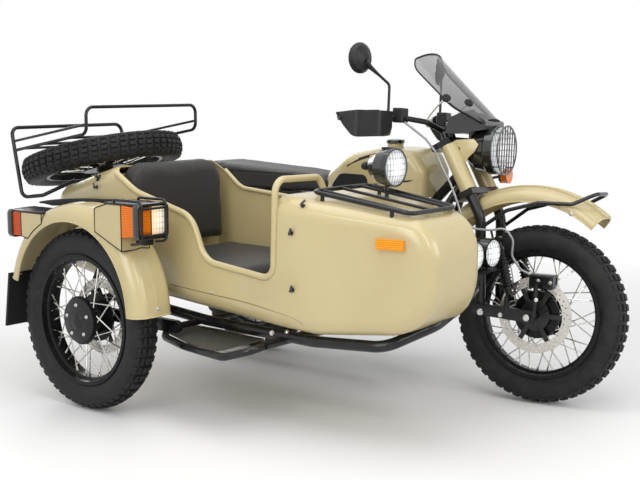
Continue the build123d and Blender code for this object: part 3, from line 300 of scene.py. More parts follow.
def frame_black():
    """Black powder coat on tubes, satin, with a fine peel and rubbed tones."""
    coat = Finish("frame_black", BLACK, 0.26, Coat_Weight=0.3, Coat_Roughness=0.1, Specular_IOR_Level=0.25)
    rub = coat.spread(coat.noise(14.0, 4.0), 0.4, 0.7)
    coat.set("Base Color", coat.mix(rub, (0.006, 0.006, 0.007), (0.014, 0.014, 0.015)))
    coat.set("Roughness", 0.2 + rub * 0.14)
    coat.bump(coat.noise(420.0, 2.0), 0.0005, 0.2)
    return coat.material


def gloss_black():
    """Gloss black lamp shells."""
    shell = Finish("gloss_black", (0.010, 0.012, 0.011), 0.16, Coat_Weight=0.6, Coat_Roughness=0.05)
    haze = shell.spread(shell.noise(9.0, 3.0), 0.4, 0.7)
    shell.set("Roughness", 0.13 + haze * 0.08)
    shell.bump(shell.noise(240.0, 2.0), 0.0003, 0.15)
    return shell.material


def moulded_plastic():
    """Black moulded plastic with a pebbled grain."""
    plastic = Finish("moulded_plastic", (0.018, 0.018, 0.019), 0.45, Specular_IOR_Level=0.3)
    tone = plastic.noise(30.0, 3.0)
    plastic.set("Base Color", plastic.mix(tone, (0.009, 0.009, 0.010), (0.018, 0.018, 0.019)))
    plastic.set("Roughness", 0.24 + tone * 0.14)
    plastic.bump(plastic.cells(700.0), 0.0006, 0.25)
    return plastic.material


def vinyl():
    """Black seat vinyl: a leather grain of small cells with soft creases between them."""
    sheen = {"Sheen_Weight": 0.06, "Sheen_Roughness": 0.4, "Specular_IOR_Level": 0.3}
    cover = Finish("seat_vinyl", (0.022, 0.022, 0.022), 0.42, **sheen)
    cell = cover.cells(330.0, "DISTANCE_TO_EDGE")
    crease = cover.spread(cell, 0.0, 0.16)
    tone = cover.noise(6.0, 4.0)
    cover.set("Base Color", cover.mix(tone, (0.021, 0.020, 0.019), (0.036, 0.034, 0.032)))
    cover.set("Roughness", 0.5 - crease * 0.12 + tone * 0.06)
    cover.bump(crease + cover.noise(900.0, 2.0) * 0.3, 0.0007, 0.35)
    return cover.material


def tyre_rubber(name, centre, axis):
    """Tyre rubber with rings round the side wall and a little dust in the grooves."""
    rubber = Finish(name, (0.02, 0.02, 0.021), 0.72, Specular_IOR_Level=0.25)
    radius = rubber.off_axle(centre, axis)
    dust = rubber.spread(rubber.noise(22.0, 5.0), 0.45, 0.75)
    rubber.set("Base Color", rubber.mix(dust, (0.013, 0.013, 0.014), (0.030, 0.029, 0.028)))
    rubber.set("Roughness", 0.55 + dust * 0.2)
    wall = radius.below(TYRE_R - 0.028)
    rings = radius.wave(0.0085) * wall
    rubber.bump(rings * 0.35 + rubber.noise(380.0, 3.0) * 0.3, 0.0014, 0.6)
    return rubber.material


def soft_rubber():
    """Plain black rubber: knee pads, mud flap, strips and grips."""
    rubber = Finish("soft_rubber", (0.012, 0.012, 0.013), 0.6, Specular_IOR_Level=0.25)
    tone = rubber.noise(40.0, 4.0)
    rubber.set("Roughness", 0.5 + tone * 0.2)
    rubber.bump(rubber.noise(500.0, 3.0), 0.0006, 0.3)
    return rubber.material


def wire_wheel(name, centre, axis):
    """Black rim, bright spokes and a black hub, told apart by their distance from the axle."""
    wheel = Finish(name, BLACK, 0.3, Specular_IOR_Level=0.2)
    radius = wheel.off_axle(centre, axis)
    spoke = radius.above(HUB_R + 0.0015) * radius.below(RIM_R - 0.0285)
    grime = wheel.spread(wheel.noise(60.0, 4.0), 0.4, 0.7)
    wheel.set("Base Color", wheel.mix(spoke, (0.007, 0.007, 0.008), (0.62, 0.61, 0.58)))
    wheel.set("Metallic", spoke)
    wheel.set("Roughness", 0.22 + grime * 0.14)
    wheel.bump(wheel.noise(300.0, 2.0), 0.0003, 0.2)
    return wheel.material


def brushed_disc(name, centre, axis):
    """A steel brake disc with turning marks, on a black carrier."""
    disc = Finish(name, (0.6, 0.59, 0.56), 0.28, 1.0)
    radius = disc.off_axle(centre, axis)
    rotor = radius.above(0.1105)
    mark = disc.noise(60.0, 2.0)
    disc.set("Base Color", disc.mix(rotor, (0.012, 0.012, 0.013), (0.66, 0.64, 0.6)))
    disc.set("Metallic", rotor)
    disc.set("Roughness", 0.24 + mark * 0.14)
    disc.bump(radius.wave(0.0016), 0.0002, 0.3)
    return disc.material


def bright_steel():
    """Polished steel fittings."""
    steel = Finish("bright_steel", (0.7, 0.69, 0.67), 0.2, 1.0)
    smear = steel.noise(45.0, 4.0)
    steel.set("Roughness", 0.14 + smear * 0.16)
    steel.bump(steel.noise(600.0, 2.0), 0.0002, 0.15)
    return steel.material


def cast_aluminium():
    """Sand-cast engine alloy, oxidised a little, with the black air box above it."""
    alloy = Finish("cast_aluminium", (0.42, 0.42, 0.41), 0.46, 0.9)
    patch = alloy.spread(alloy.noise(10.0, 5.0), 0.4, 0.7)
    box = alloy.coordinate("Z").above(AIR_BOX_FOOT.z) * alloy.coordinate("X").below(AIR_BOX_FOOT.x)
    metal = alloy.mix(patch, (0.27, 0.27, 0.26), (0.42, 0.42, 0.40))
    alloy.set("Base Color", alloy.mix(box, metal, BLACK))
    alloy.set("Metallic", 0.9 - box * 0.9)
    alloy.set("Roughness", 0.38 + patch * 0.2)
    alloy.bump(alloy.noise(700.0, 3.0), 0.0006, 0.35)
    return alloy.material


def exhaust_black():
    """Heat-proof black on pipes, greyed where it gets hot."""
    coat = Finish("exhaust_black", (0.02, 0.02, 0.02), 0.5, 0.3)
    heat = coat.spread(coat.noise(7.0, 4.0), 0.4, 0.75)
    coat.set("Base Color", coat.mix(heat, (0.014, 0.014, 0.014), (0.05, 0.047, 0.044)))
    coat.set("Roughness", 0.42 + heat * 0.2)
    coat.bump(coat.noise(300.0, 3.0), 0.0004, 0.25)
    return coat.material


def lit_glass(name, lamps):
    """Lit lamp glass: white over each bulb, greyer towards the rim, moulded in flutes and bars."""
    glass = Finish(name, (0.8, 0.81, 0.82), 0.08, Coat_Weight=0.6, Emission_Strength=0.95)
    glow = 0.0
    for centre, radius in lamps:
        glow = glass.spread(glass.reach(centre), radius, radius * 0.25).top(glow)
    flute = glass.coordinate("Y").wave(0.014) * 0.5 + 0.5
    band = glass.coordinate("Z").wave(0.021).above(0.75)
    light = glow * 0.75 + flute * 0.3 - band * 0.3 - 0.16
    white = glass.mix(glass.spread(light, 0.0, 0.75), (0.20, 0.21, 0.22), (1.0, 1.0, 0.98))
    corner = glass.coordinate("X").below(CORNER_LENS_END)
    warm = glass.spread(glass.coordinate("Y"), *CORNER_LENS_Y)
    glass.set("Emission Color", glass.mix(corner * (warm * 0.6 + 0.3), white, (1.0, 0.62, 0.16)))
    glass.set("Base Color", glass.mix(flute, (0.16, 0.17, 0.18), (0.34, 0.35, 0.36)))
    glass.bump(flute - band, 0.001, 0.5)
    return glass.material


def smoked_screen():
    """Smoked clear plastic, greyer at its foot."""
    pane = Finish("smoked_screen", (0.10, 0.105, 0.10), 0.06, Coat_Weight=0.4)
    height = pane.spread(pane.coordinate("Z"), 1.08, 1.36)
    pane.set("Alpha", 0.62 - height * 0.2)
    pane.set("Roughness", 0.04 + pane.noise(30.0, 3.0) * 0.05)
    return pane.material


AMBER = ((0.52, 0.095, 0.004), (0.80, 0.20, 0.008))
RUBY = ((0.32, 0.03, 0.004), (0.55, 0.075, 0.006))
YELLOW = ((0.66, 0.21, 0.004), (0.86, 0.34, 0.01))


def ribs(lens):
    """Moulded ribs across a lamp's plastic."""
    rib = lens.coordinate("Z").wave(0.007) * 0.5 + 0.5
    lens.bump(rib, 0.0012, 0.4)
    return rib


def amber_lens():
    """Amber lamp plastic: yellow on the nose, amber on the front corner and redder at the back."""
    shine = {"Coat_Weight": 0.1, "Emission_Strength": 0.06, "Specular_IOR_Level": 0.25}
    lens = Finish("amber_lens", AMBER[1], 0.24, **shine)
    rib = ribs(lens)
    rear = lens.coordinate("X").below(REAR_LENSES_END)
    nose = lens.coordinate("X").above(NOSE_LENS_START)
    low = lens.mix(nose, lens.mix(rear, AMBER[0], RUBY[0]), YELLOW[0])
    high = lens.mix(nose, lens.mix(rear, AMBER[1], RUBY[1]), YELLOW[1])
    tint = lens.mix(rib, low, high)
    lens.set("Base Color", tint)
    lens.set("Emission Color", tint)
    return lens.material


def stalked_lens(name, origin, direction):
    """An amber lens on a black stalk: amber past a plane."""
    lens = Finish(name, AMBER[1], 0.16, Coat_Weight=0.5, Emission_Strength=0.12)
    past = lens.along(origin, direction).above(0.0)
    tint = lens.mix(ribs(lens), *AMBER)
    lens.set("Base Color", lens.mix(past, BLACK, tint))
    lens.set("Emission Color", lens.mix(past, (0, 0, 0), tint))
    lens.set("Roughness", 0.4 - past * 0.26)
    return lens.material


def tail_lens():
    """The tail lamp: a red lens on a black housing, and an amber lens at the end of its arm."""
    lens = Finish("tail_lens", RUBY[1], 0.2, Coat_Weight=0.5, Emission_Strength=0.1)
    back = lens.coordinate("X")
    side = lens.coordinate("Y")
    red = back.below(TAIL_LENS.x) * side.below(TAIL_LENS.y)
    amber = back.below(TAIL_TURN_LENS.x) * side.above(TAIL_TURN_LENS.y)
    rib = ribs(lens)
    tint = lens.mix(amber, lens.mix(red, BLACK, lens.mix(rib, *RUBY)), lens.mix(rib, *AMBER))
    lens.set("Base Color", tint)
    lens.set("Emission Color", lens.mix((red + amber).below(0.5), tint, (0, 0, 0)))
    return lens.material


def braided_hose():
    """A grey braided hose."""
    hose = Finish("braided_hose", (0.34, 0.34, 0.35), 0.42, 0.6)
    weave = (hose.coordinate("Z") + hose.coordinate("X")).wave(0.004)
    weave = weave * (hose.coordinate("Z") - hose.coordinate("X")).wave(0.004)
    hose.set("Base Color", hose.mix(weave * 0.5 + 0.5, (0.22, 0.22, 0.23), (0.44, 0.44, 0.45)))
    hose.bump(weave, 0.0004, 0.4)
    return hose.material


def painted_seam_shadow():
    """Painted shadow: the dark line of shade along a pressed seam in the sand paint."""
    seam = Finish("painted_seam_shadow", (0.20, 0.155, 0.07), 0.5)
    tone = seam.noise(60.0, 3.0)
    seam.set("Base Color", seam.mix(tone, (0.16, 0.125, 0.055), (0.25, 0.2, 0.1)))
    seam.set("Roughness", 0.42 + tone * 0.16)
    return seam.material


def mirror_glass():
    """Silvered mirror glass with a breath of haze."""
    glass = Finish("mirror_glass", (0.86, 0.88, 0.9), 0.03, 1.0)
    haze = glass.noise(18.0, 3.0)
    glass.set("Roughness", 0.02 + haze * 0.04)
    glass.set("Base Color", glass.mix(haze, (0.8, 0.82, 0.84), (0.9, 0.91, 0.93)))
    return glass.material


def dial_face(origin):
    """A black dial with pale marks round it."""
    dial = Finish("dial_face", (0.012, 0.012, 0.012), 0.35, Coat_Weight=0.9, Coat_Roughness=0.03)
    face = dial.away(origin)
    reach = dial.reach(origin)
    ring = reach.above(0.024) * reach.below(0.029)
    parts = [dial.node("ShaderNodeSeparateXYZ", None, {"Vector": face}, axis) for axis in "XY"]
    turn = parts[0].calc("ARCTAN2", parts[1], parts[0])
    mark = ring * turn.wave(math.pi / 15).above(0.8)
    dial.set("Base Color", dial.mix(mark, (0.012, 0.012, 0.012), (0.7, 0.7, 0.66)))
    dial.set("Roughness", 0.3 + mark * 0.2)
    return dial.material


def tread_plate():
    """Dark step rubber with a raised lattice."""
    plate = Finish("tread_plate", (0.05, 0.046, 0.038), 0.6)
    across = plate.coordinate("X")
    over = plate.coordinate("Y")
    lattice = (across + over).wave(0.018).size().top((across - over).wave(0.018).size())
    raised = plate.spread(lattice, 0.9, 0.98)
    plate.set("Base Color", plate.mix(raised, (0.035, 0.032, 0.027), (0.11, 0.10, 0.085)))
    plate.set("Roughness", 0.62 - raised * 0.15)
    plate.bump(raised, 0.002, 0.6)
    return plate.material


# Modelling helpers
def alone():
    """Leave nothing selected."""
    if bpy.context.mode != "OBJECT":
        bpy.ops.object.mode_set(mode="OBJECT")
    bpy.ops.object.select_all(action="DESELECT")


def choose(*pieces):
    """Select these pieces, the first as the active one."""
    alone()
    for piece in pieces:
        piece.select_set(True)
    bpy.context.view_layer.objects.active = pieces[0]


def edit(piece):
    """Open a piece in edit mode with everything in it selected."""
    choose(piece)
    bpy.ops.object.mode_set(mode="EDIT")
    bpy.ops.mesh.select_all(action="SELECT")


def done():
    """Back to object mode."""
    bpy.ops.object.mode_set(mode="OBJECT")


def join(name, pieces):
    """Join pieces to one mesh."""
    choose(*pieces)
    bpy.ops.object.join()
    pieces[0].name = name
    return pieces[0]


def outline(name, points):
    """A closed outline in the XZ plane from a circle primitive; points give distance out and height."""
    alone()
    bpy.ops.mesh.primitive_circle_add(vertices=len(points), fill_type="NOTHING")
    piece = bpy.context.object
    piece.name = name
    for vertex, point in zip(piece.data.vertices, points):
        vertex.co = point
    return piece


def turned(name, points, steps):
    """A closed outline of radius and offset spun about the Y axis through the origin."""
    piece = outline(name, [(0.0, y, r) for r, y in points])
    edit(piece)
    bpy.ops.mesh.spin(steps=steps, angle=2 * math.pi, center=(0, 0, 0), axis=(0, 1, 0))
    bpy.ops.mesh.select_all(action="SELECT")
    bpy.ops.mesh.remove_doubles(threshold=0.00002)
    bpy.ops.mesh.normals_make_consistent(inside=False)
    done()
    return piece


def ringed(piece, count):
    """Copies of a piece round the Y axis, one mesh."""
    edit(piece)
    turn = 2 * math.pi * (count - 1) / count
    bpy.ops.mesh.spin(steps=count - 1, dupli=True, angle=turn, center=(0, 0, 0), axis=(0, 1, 0))
    done()
    return piece


def smooth(piece, angle=35.0):
    choose(piece)
    bpy.ops.object.shade_smooth_by_angle(angle=math.radians(angle))
    return piece


def paint(piece, material):
    """Make a material the only one on a piece or a node."""
    piece.data.materials.clear()
    piece.data.materials.append(material)


def dress(piece, finish, body, slot):
    """Give a new piece its finish, by name or as a material of its own, and its body; its slot is not used.
    """
    paint(piece, materials[finish] if isinstance(finish, str) else finish)
    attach(piece, body)
    return piece


def primitive(kind, **sizes):
    """Add a primitive with its place in its mesh."""
    alone()
    getattr(bpy.ops.mesh, "primitive_" + kind + "_add")(**sizes)
    bpy.ops.object.transform_apply(location=True, rotation=True, scale=True)
    return bpy.context.object


def copied(node, name):
    """A copy of a node's mesh, its loose triangles merged."""
    piece = placed(name, nodes[node].data.copy())
    edit(piece)
    bpy.ops.mesh.remove_doubles(threshold=0.00005)
    done()
    return piece


def changed(piece, kind, **settings):
    """Give a piece a modifier and apply it."""
    choose(piece)
    change = piece.modifiers.new("change", kind)
    for key, value in settings.items():
        setattr(change, key, value)
    bpy.ops.object.modifier_apply(modifier="change")
    return piece


def rounded(piece, width, segments=2):
    """Round a piece's sharp edges."""
    return smooth(changed(piece, "BEVEL", width=width, segments=segments, limit_method="ANGLE"))


def cut(piece, cutter):
    """Take one mesh away from another."""
    changed(piece, "BOOLEAN", operation="DIFFERENCE", solver="EXACT", object=cutter)
    bpy.data.objects.remove(cutter)
    return piece


def bar(size, place, soft, segments=2):
    """A block of a size at a place, its edges rounded."""
    piece = primitive("cube", size=1.0)
    piece.data.transform(Matrix.Translation(place) @ Matrix.Diagonal((*size, 1.0)))
    return rounded(piece, soft, segments)


def peg(radius, depth, height, sides, soft, segments=1):
    """A cylinder along Z with rounded edges, its middle at a height."""
    piece = primitive("cylinder", vertices=sides, radius=radius, depth=depth, location=(0, 0, height))
    return rounded(piece, soft, segments)


def slab(name, low, high, soft=0.002):
    """A block between two corners in drawing millimetres."""
    low, high = at(*low), at(*high)
    piece = bar(high - low, (low + high) / 2, soft)
    piece.name = name
    return piece


def mounted(name, points, steps, place, angle=30.0):
    """A turned piece set at its place."""
    piece = smooth(turned(name, points, steps), angle)
    piece.data.transform(place)
    return piece


def bead(name, points, radius, swells=None):
    """A round bead along a smooth line; swells are its thickness at each point, as shares of the radius."""
    line = bpy.data.curves.new(name, "CURVE")
    line.dimensions = "3D"
    run = line.splines.new("NURBS")
    run.points.add(len(points) - 1)
    for knot, spot, share in zip(run.points, points, swells or [1.0] * len(points)):
        knot.co = (*spot, 1.0)
        knot.radius = share
    run.use_endpoint_u = True
    run.order_u = 3
    return round_line(name, line, radius)


def round_line(name, line, radius):
    """Give a curve its thickness and make it a mesh."""
    line.bevel_depth = radius
    line.bevel_resolution = 2
    line.resolution_u = 6
    line.use_fill_caps = True
    piece = placed(name, line)
    choose(piece)
    bpy.ops.object.convert(target="MESH")
    return smooth(bpy.context.object, 60.0)


def edge_bead(name, node, sharp, radius):
    """A round bead along a node's sharp edges."""
    piece = copied(node, name)
    edit(piece)
    bpy.ops.mesh.select_mode(type="EDGE")
    bpy.ops.mesh.select_all(action="DESELECT")
    bpy.ops.mesh.edges_select_sharp(sharpness=math.radians(sharp))
    bpy.ops.mesh.select_all(action="INVERT")
    bpy.ops.mesh.delete(type="EDGE_FACE")
    bpy.ops.mesh.delete_loose(use_verts=True, use_edges=False, use_faces=False)
    done()
    choose(piece)
    bpy.ops.object.convert(target="CURVE")
    line = bpy.context.object.data.copy()
    bpy.data.objects.remove(bpy.context.object)
    return round_line(name, line, radius)


def bezel(name, width, height, rail, depth, corner):
    """A round-cornered frame in the YZ plane about the origin, as deep as given along X."""
    ring = primitive("plane", size=1.0, rotation=(0, math.pi / 2, 0))
    ring.name = name
    ring.data.transform(Matrix.Diagonal((1.0, width, height, 1.0)))
    edit(ring)
    bpy.ops.mesh.bevel(affect="VERTICES", offset=corner, segments=4)
    bpy.ops.mesh.select_all(action="SELECT")
    bpy.ops.mesh.inset(thickness=rail, depth=0.0)
    bpy.ops.mesh.delete(type="FACE")
    bpy.ops.mesh.select_all(action="SELECT")
    bpy.ops.mesh.extrude_region_move(TRANSFORM_OT_translate={"value": (depth, 0, 0)})
    bpy.ops.mesh.select_all(action="SELECT")
    bpy.ops.mesh.normals_make_consistent(inside=False)
    done()
    return rounded(ring, rail * 0.25)


def pointing(spot, out, roll=0.0):
    """The place of a small piece that stands on a surface, its Z along the surface's normal."""
    turn = Vector(out).to_track_quat("Z", "Y").to_matrix().to_4x4()
    return Matrix.Translation(spot) @ turn @ Matrix.Rotation(roll, 4, "Z")


def scattered(name, model, places):
    """Copies of a model, one at each place, joined to one mesh; the model itself goes."""
    made = []
    for place in places:
        twin = placed(name, model.data.copy())
        twin.data.transform(place)
        made.append(twin)
    bpy.data.objects.remove(model)
    return smooth(join(name, made))


def bolt_head():
    """A hexagon head of radius one on its washer."""
    return join("bolt_head", [peg(1.0, 0.8, 0.6, 6, 0.12), peg(1.4, 0.3, 0.1, 16, 0.08)])


def sight(across, down):
    """The camera's line of sight through a pixel of the photograph."""
    aim = camera_aim()
    right = aim.cross(Vector((0, 0, 1))).normalized()
    focal = CAMERA_LENS / SENSOR * PHOTO_W
    over, under = across - PHOTO_W / 2, down - PHOTO_H / 2
    return (aim * focal + right * over - right.cross(aim) * under).normalized()


def seen(across, down, *carriers):
    """Where a line of sight first meets the carriers, and which way their surface faces there."""
    start, ray = Vector(CAMERA_AT), sight(across, down)
    hits = [carrier.ray_cast(start, ray) for carrier in carriers]
    spots = [(spot, facing) for found, spot, facing, face in hits if found]
    return min(spots, key=lambda hit: (hit[0] - start).length) if spots else None


def laid(run, carrier, sunk=0.0):
    """A line of pixels laid on its carrier, sunk into it a little, without those that miss it."""
    hits = [seen(across, down, carrier) for across, down in run]
    return [hit[0] - hit[1] * sunk for hit in hits if hit]


# Tyres
def carcass_outline():
    """Half a tyre's section, bead to crown, closed by its mirror image."""
    half_w = TYRE_W / 2
    floor = TYRE_R - LUG_DEEP
    half = [(TYRE_SEAT_R, 0.036), (0.2475, 0.0362), (0.2535, 0.0385), (0.262, 0.0455), (0.274, 0.0515)]
    half += [(0.288, half_w), (0.303, half_w - 0.0005), (0.316, 0.0505), (0.326, 0.0445)]
    half += [(floor - 0.004, 0.035), (floor, 0.02)]
    return half + [(r, -y) for r, y in reversed(half)]


# Each row of tread: offset across, width, length round, share of a pitch it is shifted, and its lean
TREAD_ROWS = (
    (0.0, 0.0185, 0.029, 0.0, 0.0),
    (0.0195, 0.0155, 0.028, 0.06, 10.0),
    (-0.0195, 0.0155, 0.028, -0.06, -10.0),
    (0.0378, 0.0165, 0.025, 0.1, 30.0),
    (-0.0378, 0.0165, 0.025, -0.1, -30.0),
)


def tread_block(across, width, length, shift, lean):
    """One tread lug: a tapered block with its top edges rounded, standing on the carcass."""
    lug = primitive("cube", size=1.0)
    deep = LUG_DEEP + LUG_ROOT
    lug.data.transform(Matrix.Diagonal((length, width, deep, 1.0)))
    edit(lug)
    bpy.ops.mesh.select_all(action="DESELECT")
    done()
    for face in lug.data.polygons:
        face.select = face.normal.z > 0.9
    choose(lug)
    bpy.ops.object.mode_set(mode="EDIT")
    bpy.ops.mesh.select_mode(type="FACE")
    bpy.ops.transform.resize(value=(LUG_TAPER, LUG_TAPER, 1.0))
    bpy.ops.mesh.bevel(offset=LUG_SOFT, segments=1, affect="EDGES")
    done()
    crown = TYRE_R - CROWN_DROP * (across / CROWN_REACH) ** 2
    place = Matrix.Translation((0, across, crown - deep / 2)) @ Matrix.Rotation(math.radians(-lean), 4, "X")
    lug.data.transform(Matrix.Rotation(shift * 2 * math.pi / LUGS, 4, "Y") @ place)
    return ringed(lug, LUGS)


def tread_tyre(node, body, stance, roll):
    """A tyre with a round-shouldered carcass and five rows of lugs."""
    axis = stance.to_3x3() @ AXLE_WAY
    carcass = smooth(turned(node + "_tread", carcass_outline(), 96))
    rows = [tread_block(*row) for row in TREAD_ROWS]
    tyre = join(node + "_tread", [carcass] + rows)
    tyre.data.transform(stance @ Matrix.Rotation(roll, 4, "Y"))
    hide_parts(node)
    dress(tyre, tyre_rubber(node + "_rubber", stance.translation, axis), body, "tyre_rubber")
    return tyre


def middle(node):
    low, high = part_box(node)
    return (Vector(low) + Vector(high)) / 2


def spoke_line(number):
    """The rim end of a spoke and its way to the hub, about the wheel's own middle."""
    side = 1 if number % 2 else -1
    lean = SPOKE_LEAN if (number // 2) % 2 else -SPOKE_LEAN
    a = 2 * math.pi * number / SPOKES
    b = a + lean
    rim = Vector((SPOKE_RIM[0] * math.cos(a), side * SPOKE_RIM[1], SPOKE_RIM[0] * math.sin(a)))
    hub = Vector((SPOKE_HUB[0] * math.cos(b), side * SPOKE_HUB[1], SPOKE_HUB[0] * math.sin(b)))
    return rim, (hub - rim).normalized()


def spoke_nipples(name, body, stance):
    """The bright nipples where the spokes leave the rim."""
    sizes = {"radius1": 0.0046, "radius2": 0.0030, "depth": 0.018}
    model = primitive("cone", vertices=6, location=(0, 0, 0.009), **sizes)
    places = [pointing(rim + way * 0.002, way) for rim, way in map(spoke_line, range(SPOKES))]
    piece = scattered(name + "_nipples", model, [stance @ place for place in places])
    return dress(piece, "bright_steel", body, "bright_steel")


# The drilled rows of a disc: radius, number of holes and share of a pitch that the row is shifted
DRILLED = ((0.1185, 30, 0.0), (0.129, 30, 0.5), (0.1395, 30, 0.0))


def drilled_disc(name, body, stance, side):
    """A brake disc with rows of holes through its rubbing face, in place of the plain one."""
    piece = copied(name + "_disc", name + "_disc_drilled")
    rows = []
    for radius, count, shift in DRILLED:
        spin = Matrix.Rotation(shift * 2 * math.pi / count, 4, "Y")
        hole = primitive("cylinder", vertices=8, radius=HOLE_R, depth=0.02, rotation=(math.pi / 2, 0, 0))
        hole.data.transform(spin @ Matrix.Translation((radius, side * DISC_MID, 0)))
        rows.append(ringed(hole, count))
    drill = join("drill", rows)
    drill.data.transform(stance)
    cut(piece, drill)
    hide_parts(name + "_disc")
    finish = brushed_disc(name + "_disc_finish", stance.translation, stance.to_3x3() @ AXLE_WAY)
    return dress(smooth(piece), finish, body, "bright_steel")


HUB_CAP = [(0.0, 0.0735), (0.012, 0.073), (0.026, 0.069), (0.034, 0.0625), (0.045, 0.0615), (0.078, 0.0575)]
HUB_CAP += [(0.0855, 0.053), (0.087, 0.0475), (0.0865, 0.0445), (0.041, 0.0445), (0.0, 0.060)]
HUB_BOLTS_R = 0.06
HUB_BOLTS_SEAT = 0.0595
HUB_BOLT_HEAD = 0.0052


def hub_cap(name, body, stance, side, bolts):
    """A domed cover on the open side of a hub, with bolts round it."""
    cap = mounted(name + "_hub_cap", [(r, side * y) for r, y in HUB_CAP], 48, stance)
    dress(cap, "moulded_plastic", body, "black_paint")
    places = []
    for number in range(bolts):
        a = 2 * math.pi * (number + 0.3) / bolts
        spot = Vector((HUB_BOLTS_R * math.cos(a), side * HUB_BOLTS_SEAT, HUB_BOLTS_R * math.sin(a)))
        places.append(stance @ pointing(spot, (0, side, 0)) @ Matrix.Scale(HUB_BOLT_HEAD, 4))
    heads = scattered(name + "_hub_bolts", bolt_head(), places)
    return dress(heads, "bright_steel", body, "bright_steel")


LID_TURN = Matrix.Rotation(-LID_SLOPE, 4, "Y") @ Matrix.Rotation(math.pi / 2, 4, "X")
UNTURNED = Matrix.Identity(4)
Y_TO_Z = Matrix.Rotation(math.pi / 2, 4, "X")

# Each wheel: name, body, how it is turned, side of its disc, and side and bolts of its hub's cover
WHEELS = (
    ("front", "front_wheel_body", FORK_TURN, -1, 1, 5),
    ("rear", "rear_wheel_body", UNTURNED, 1, 0, 0),
    ("sidecar", "sidecar_wheel_body", UNTURNED, 1, -1, 5),
    ("spare", "trunk_lid_body", LID_TURN, 0, 0, 0),
)


def wheels():
    """Tyres, wheel finishes, nipples, discs and hub covers."""
    for number, (name, body, turn, disc_side, cap_side, bolts) in enumerate(WHEELS):
        stance = Matrix.Translation(middle(name + "_tyre")) @ turn
        axis = turn.to_3x3() @ AXLE_WAY
        tread_tyre(name + "_tyre", body, stance, TYRE_ROLL * number)
        paint(nodes[name + "_wheel"], wire_wheel(name + "_wheel_finish", stance.translation, axis))
        spoke_nipples(name, body, stance)
        if disc_side:
            drilled_disc(name, body, stance, disc_side)
        if cap_side:
            hub_cap(name, body, stance, cap_side, bolts)


# Stuffed seats
def stuffed(name, node, shrink, voxel, cap):
    """A padded piece from a soft solid: remeshed, blown up by cloth pressure, and its swelling capped."""
    pad = copied(node, name)
    centre = middle(node)
    low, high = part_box(node)
    size = Vector(high) - Vector(low)
    scale = Matrix.Diagonal((*[1 - 2 * shrink / s for s in size], 1.0))
    pad.data.transform(Matrix.Translation(centre) @ scale @ Matrix.Translation(-centre))
    changed(pad, "REMESH", mode="VOXEL", voxel_size=voxel)
    rest = [v.co.copy() for v in pad.data.vertices]
    swell(pad)
    for vertex, home in zip(pad.data.vertices, rest):
        move = vertex.co - home
        if move.length > cap:
            vertex.co = home + move * (cap / move.length)
    smooth(changed(pad, "SMOOTH", factor=0.5, iterations=6), 80.0)
    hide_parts(node)
    dress(pad, "seat_vinyl", "chassis", "black_vinyl")
    return pad


def swell(pad):
    """Twenty frames of cloth under inside pressure."""
    choose(pad)
    cloth = pad.modifiers.new("cloth", "CLOTH")
    cloth.settings.use_pressure = True
    cloth.settings.uniform_pressure_force = 4.0
    cloth.settings.effector_weights.gravity = 0.0
    cloth.settings.quality = 4
    cloth.settings.mass = 0.4
    cloth.settings.tension_stiffness = 20
    cloth.settings.compression_stiffness = 20
    for tick in range(1, 21):
        bpy.context.scene.frame_set(tick)
    bpy.ops.object.modifier_apply(modifier="cloth")
    bpy.context.scene.frame_set(1)


# Lit lamps that don't turn: the glass's middle in drawing millimetres and its radius in metres
LAMPS = (
    (1268, -640, 938, 0.066),
    (1470, -420, 614, 0.060),
    (1470, -303, 614, 0.060),
    (600, -1178, 752, 0.075),
)
HEADLAMP = (1304, 0, 972)
HEADLAMP_R = 0.093
TURN_LENS = (1238, 168, 872)
FORWARD = FORK_TURN.to_3x3() @ Vector((1, 0, 0))
DIAL_AT = (1136, 0, 1108)
DIAL_TILT = (-0.359, 0, 0.933)
materials = {
    "sand_gloss": sand_gloss(),
    "frame_black": frame_black(),
    "gloss_black": gloss_black(),
    "moulded_plastic": moulded_plastic(),
    "seat_vinyl": vinyl(),
    "soft_rubber": soft_rubber(),
    "bright_steel": bright_steel(),
    "cast_aluminium": cast_aluminium(),
    "exhaust_black": exhaust_black(),
    "headlamp_glass": lit_glass("headlamp_glass", ((STEERED @ at(*HEADLAMP), HEADLAMP_R),)),
    "lamp_glass": lit_glass("lamp_glass", [(at(*spot), radius) for *spot, radius in LAMPS]),
    "smoked_screen": smoked_screen(),
    "amber_lens": amber_lens(),
    "tail_lens": tail_lens(),
    "turn_lens": stalked_lens("turn_lens", STEERED @ at(*TURN_LENS), FORWARD),
    "braided_hose": braided_hose(),
    "painted_seam_shadow": painted_seam_shadow(),
    "mirror_glass": mirror_glass(),
    "dial_face": dial_face(STEERED @ at(*DIAL_AT)),
    "tread_plate": tread_plate(),
}

FINISHES = {
    "sand_gloss": (
        "sidecar_tub", "trunk_lid", "sidecar_fender", "front_fender", "rear_fender", "fuel_tank",
        "fork_shrouds", "cockpit_rim", "corner_lamps",
    ),
    "frame_black": (
        "bike_frame", "sidecar_frame", "fork", "leading_links", "swing_arm", "sidecar_arm", "fender_loop",
        "nose_rack", "luggage_rack", "handlebar", "front_shocks", "shock_absorbers",
        "lamp_guards",
    ),
    "gloss_black": ("headlamp_shell", "aux_lamps", "headlamp_guard"),
    "moulded_plastic": ("hand_controls",),
    "soft_rubber": ("mudflap", "side_strip", "knee_pads"),
    "cast_aluminium": ("engine",),
    "braided_hose": ("brake_hose",),
    "exhaust_black": ("exhaust",),
    "headlamp_glass": ("headlamp_lens",),
    "lamp_glass": ("lamp_glasses",),
    "smoked_screen": ("windscreen",),
    "amber_lens": ("amber_lenses",),
    "turn_lens": ("front_turn_lamp",),
    "tail_lens": ("tail_lamp",),
    "tread_plate": ("step_plate",),
}
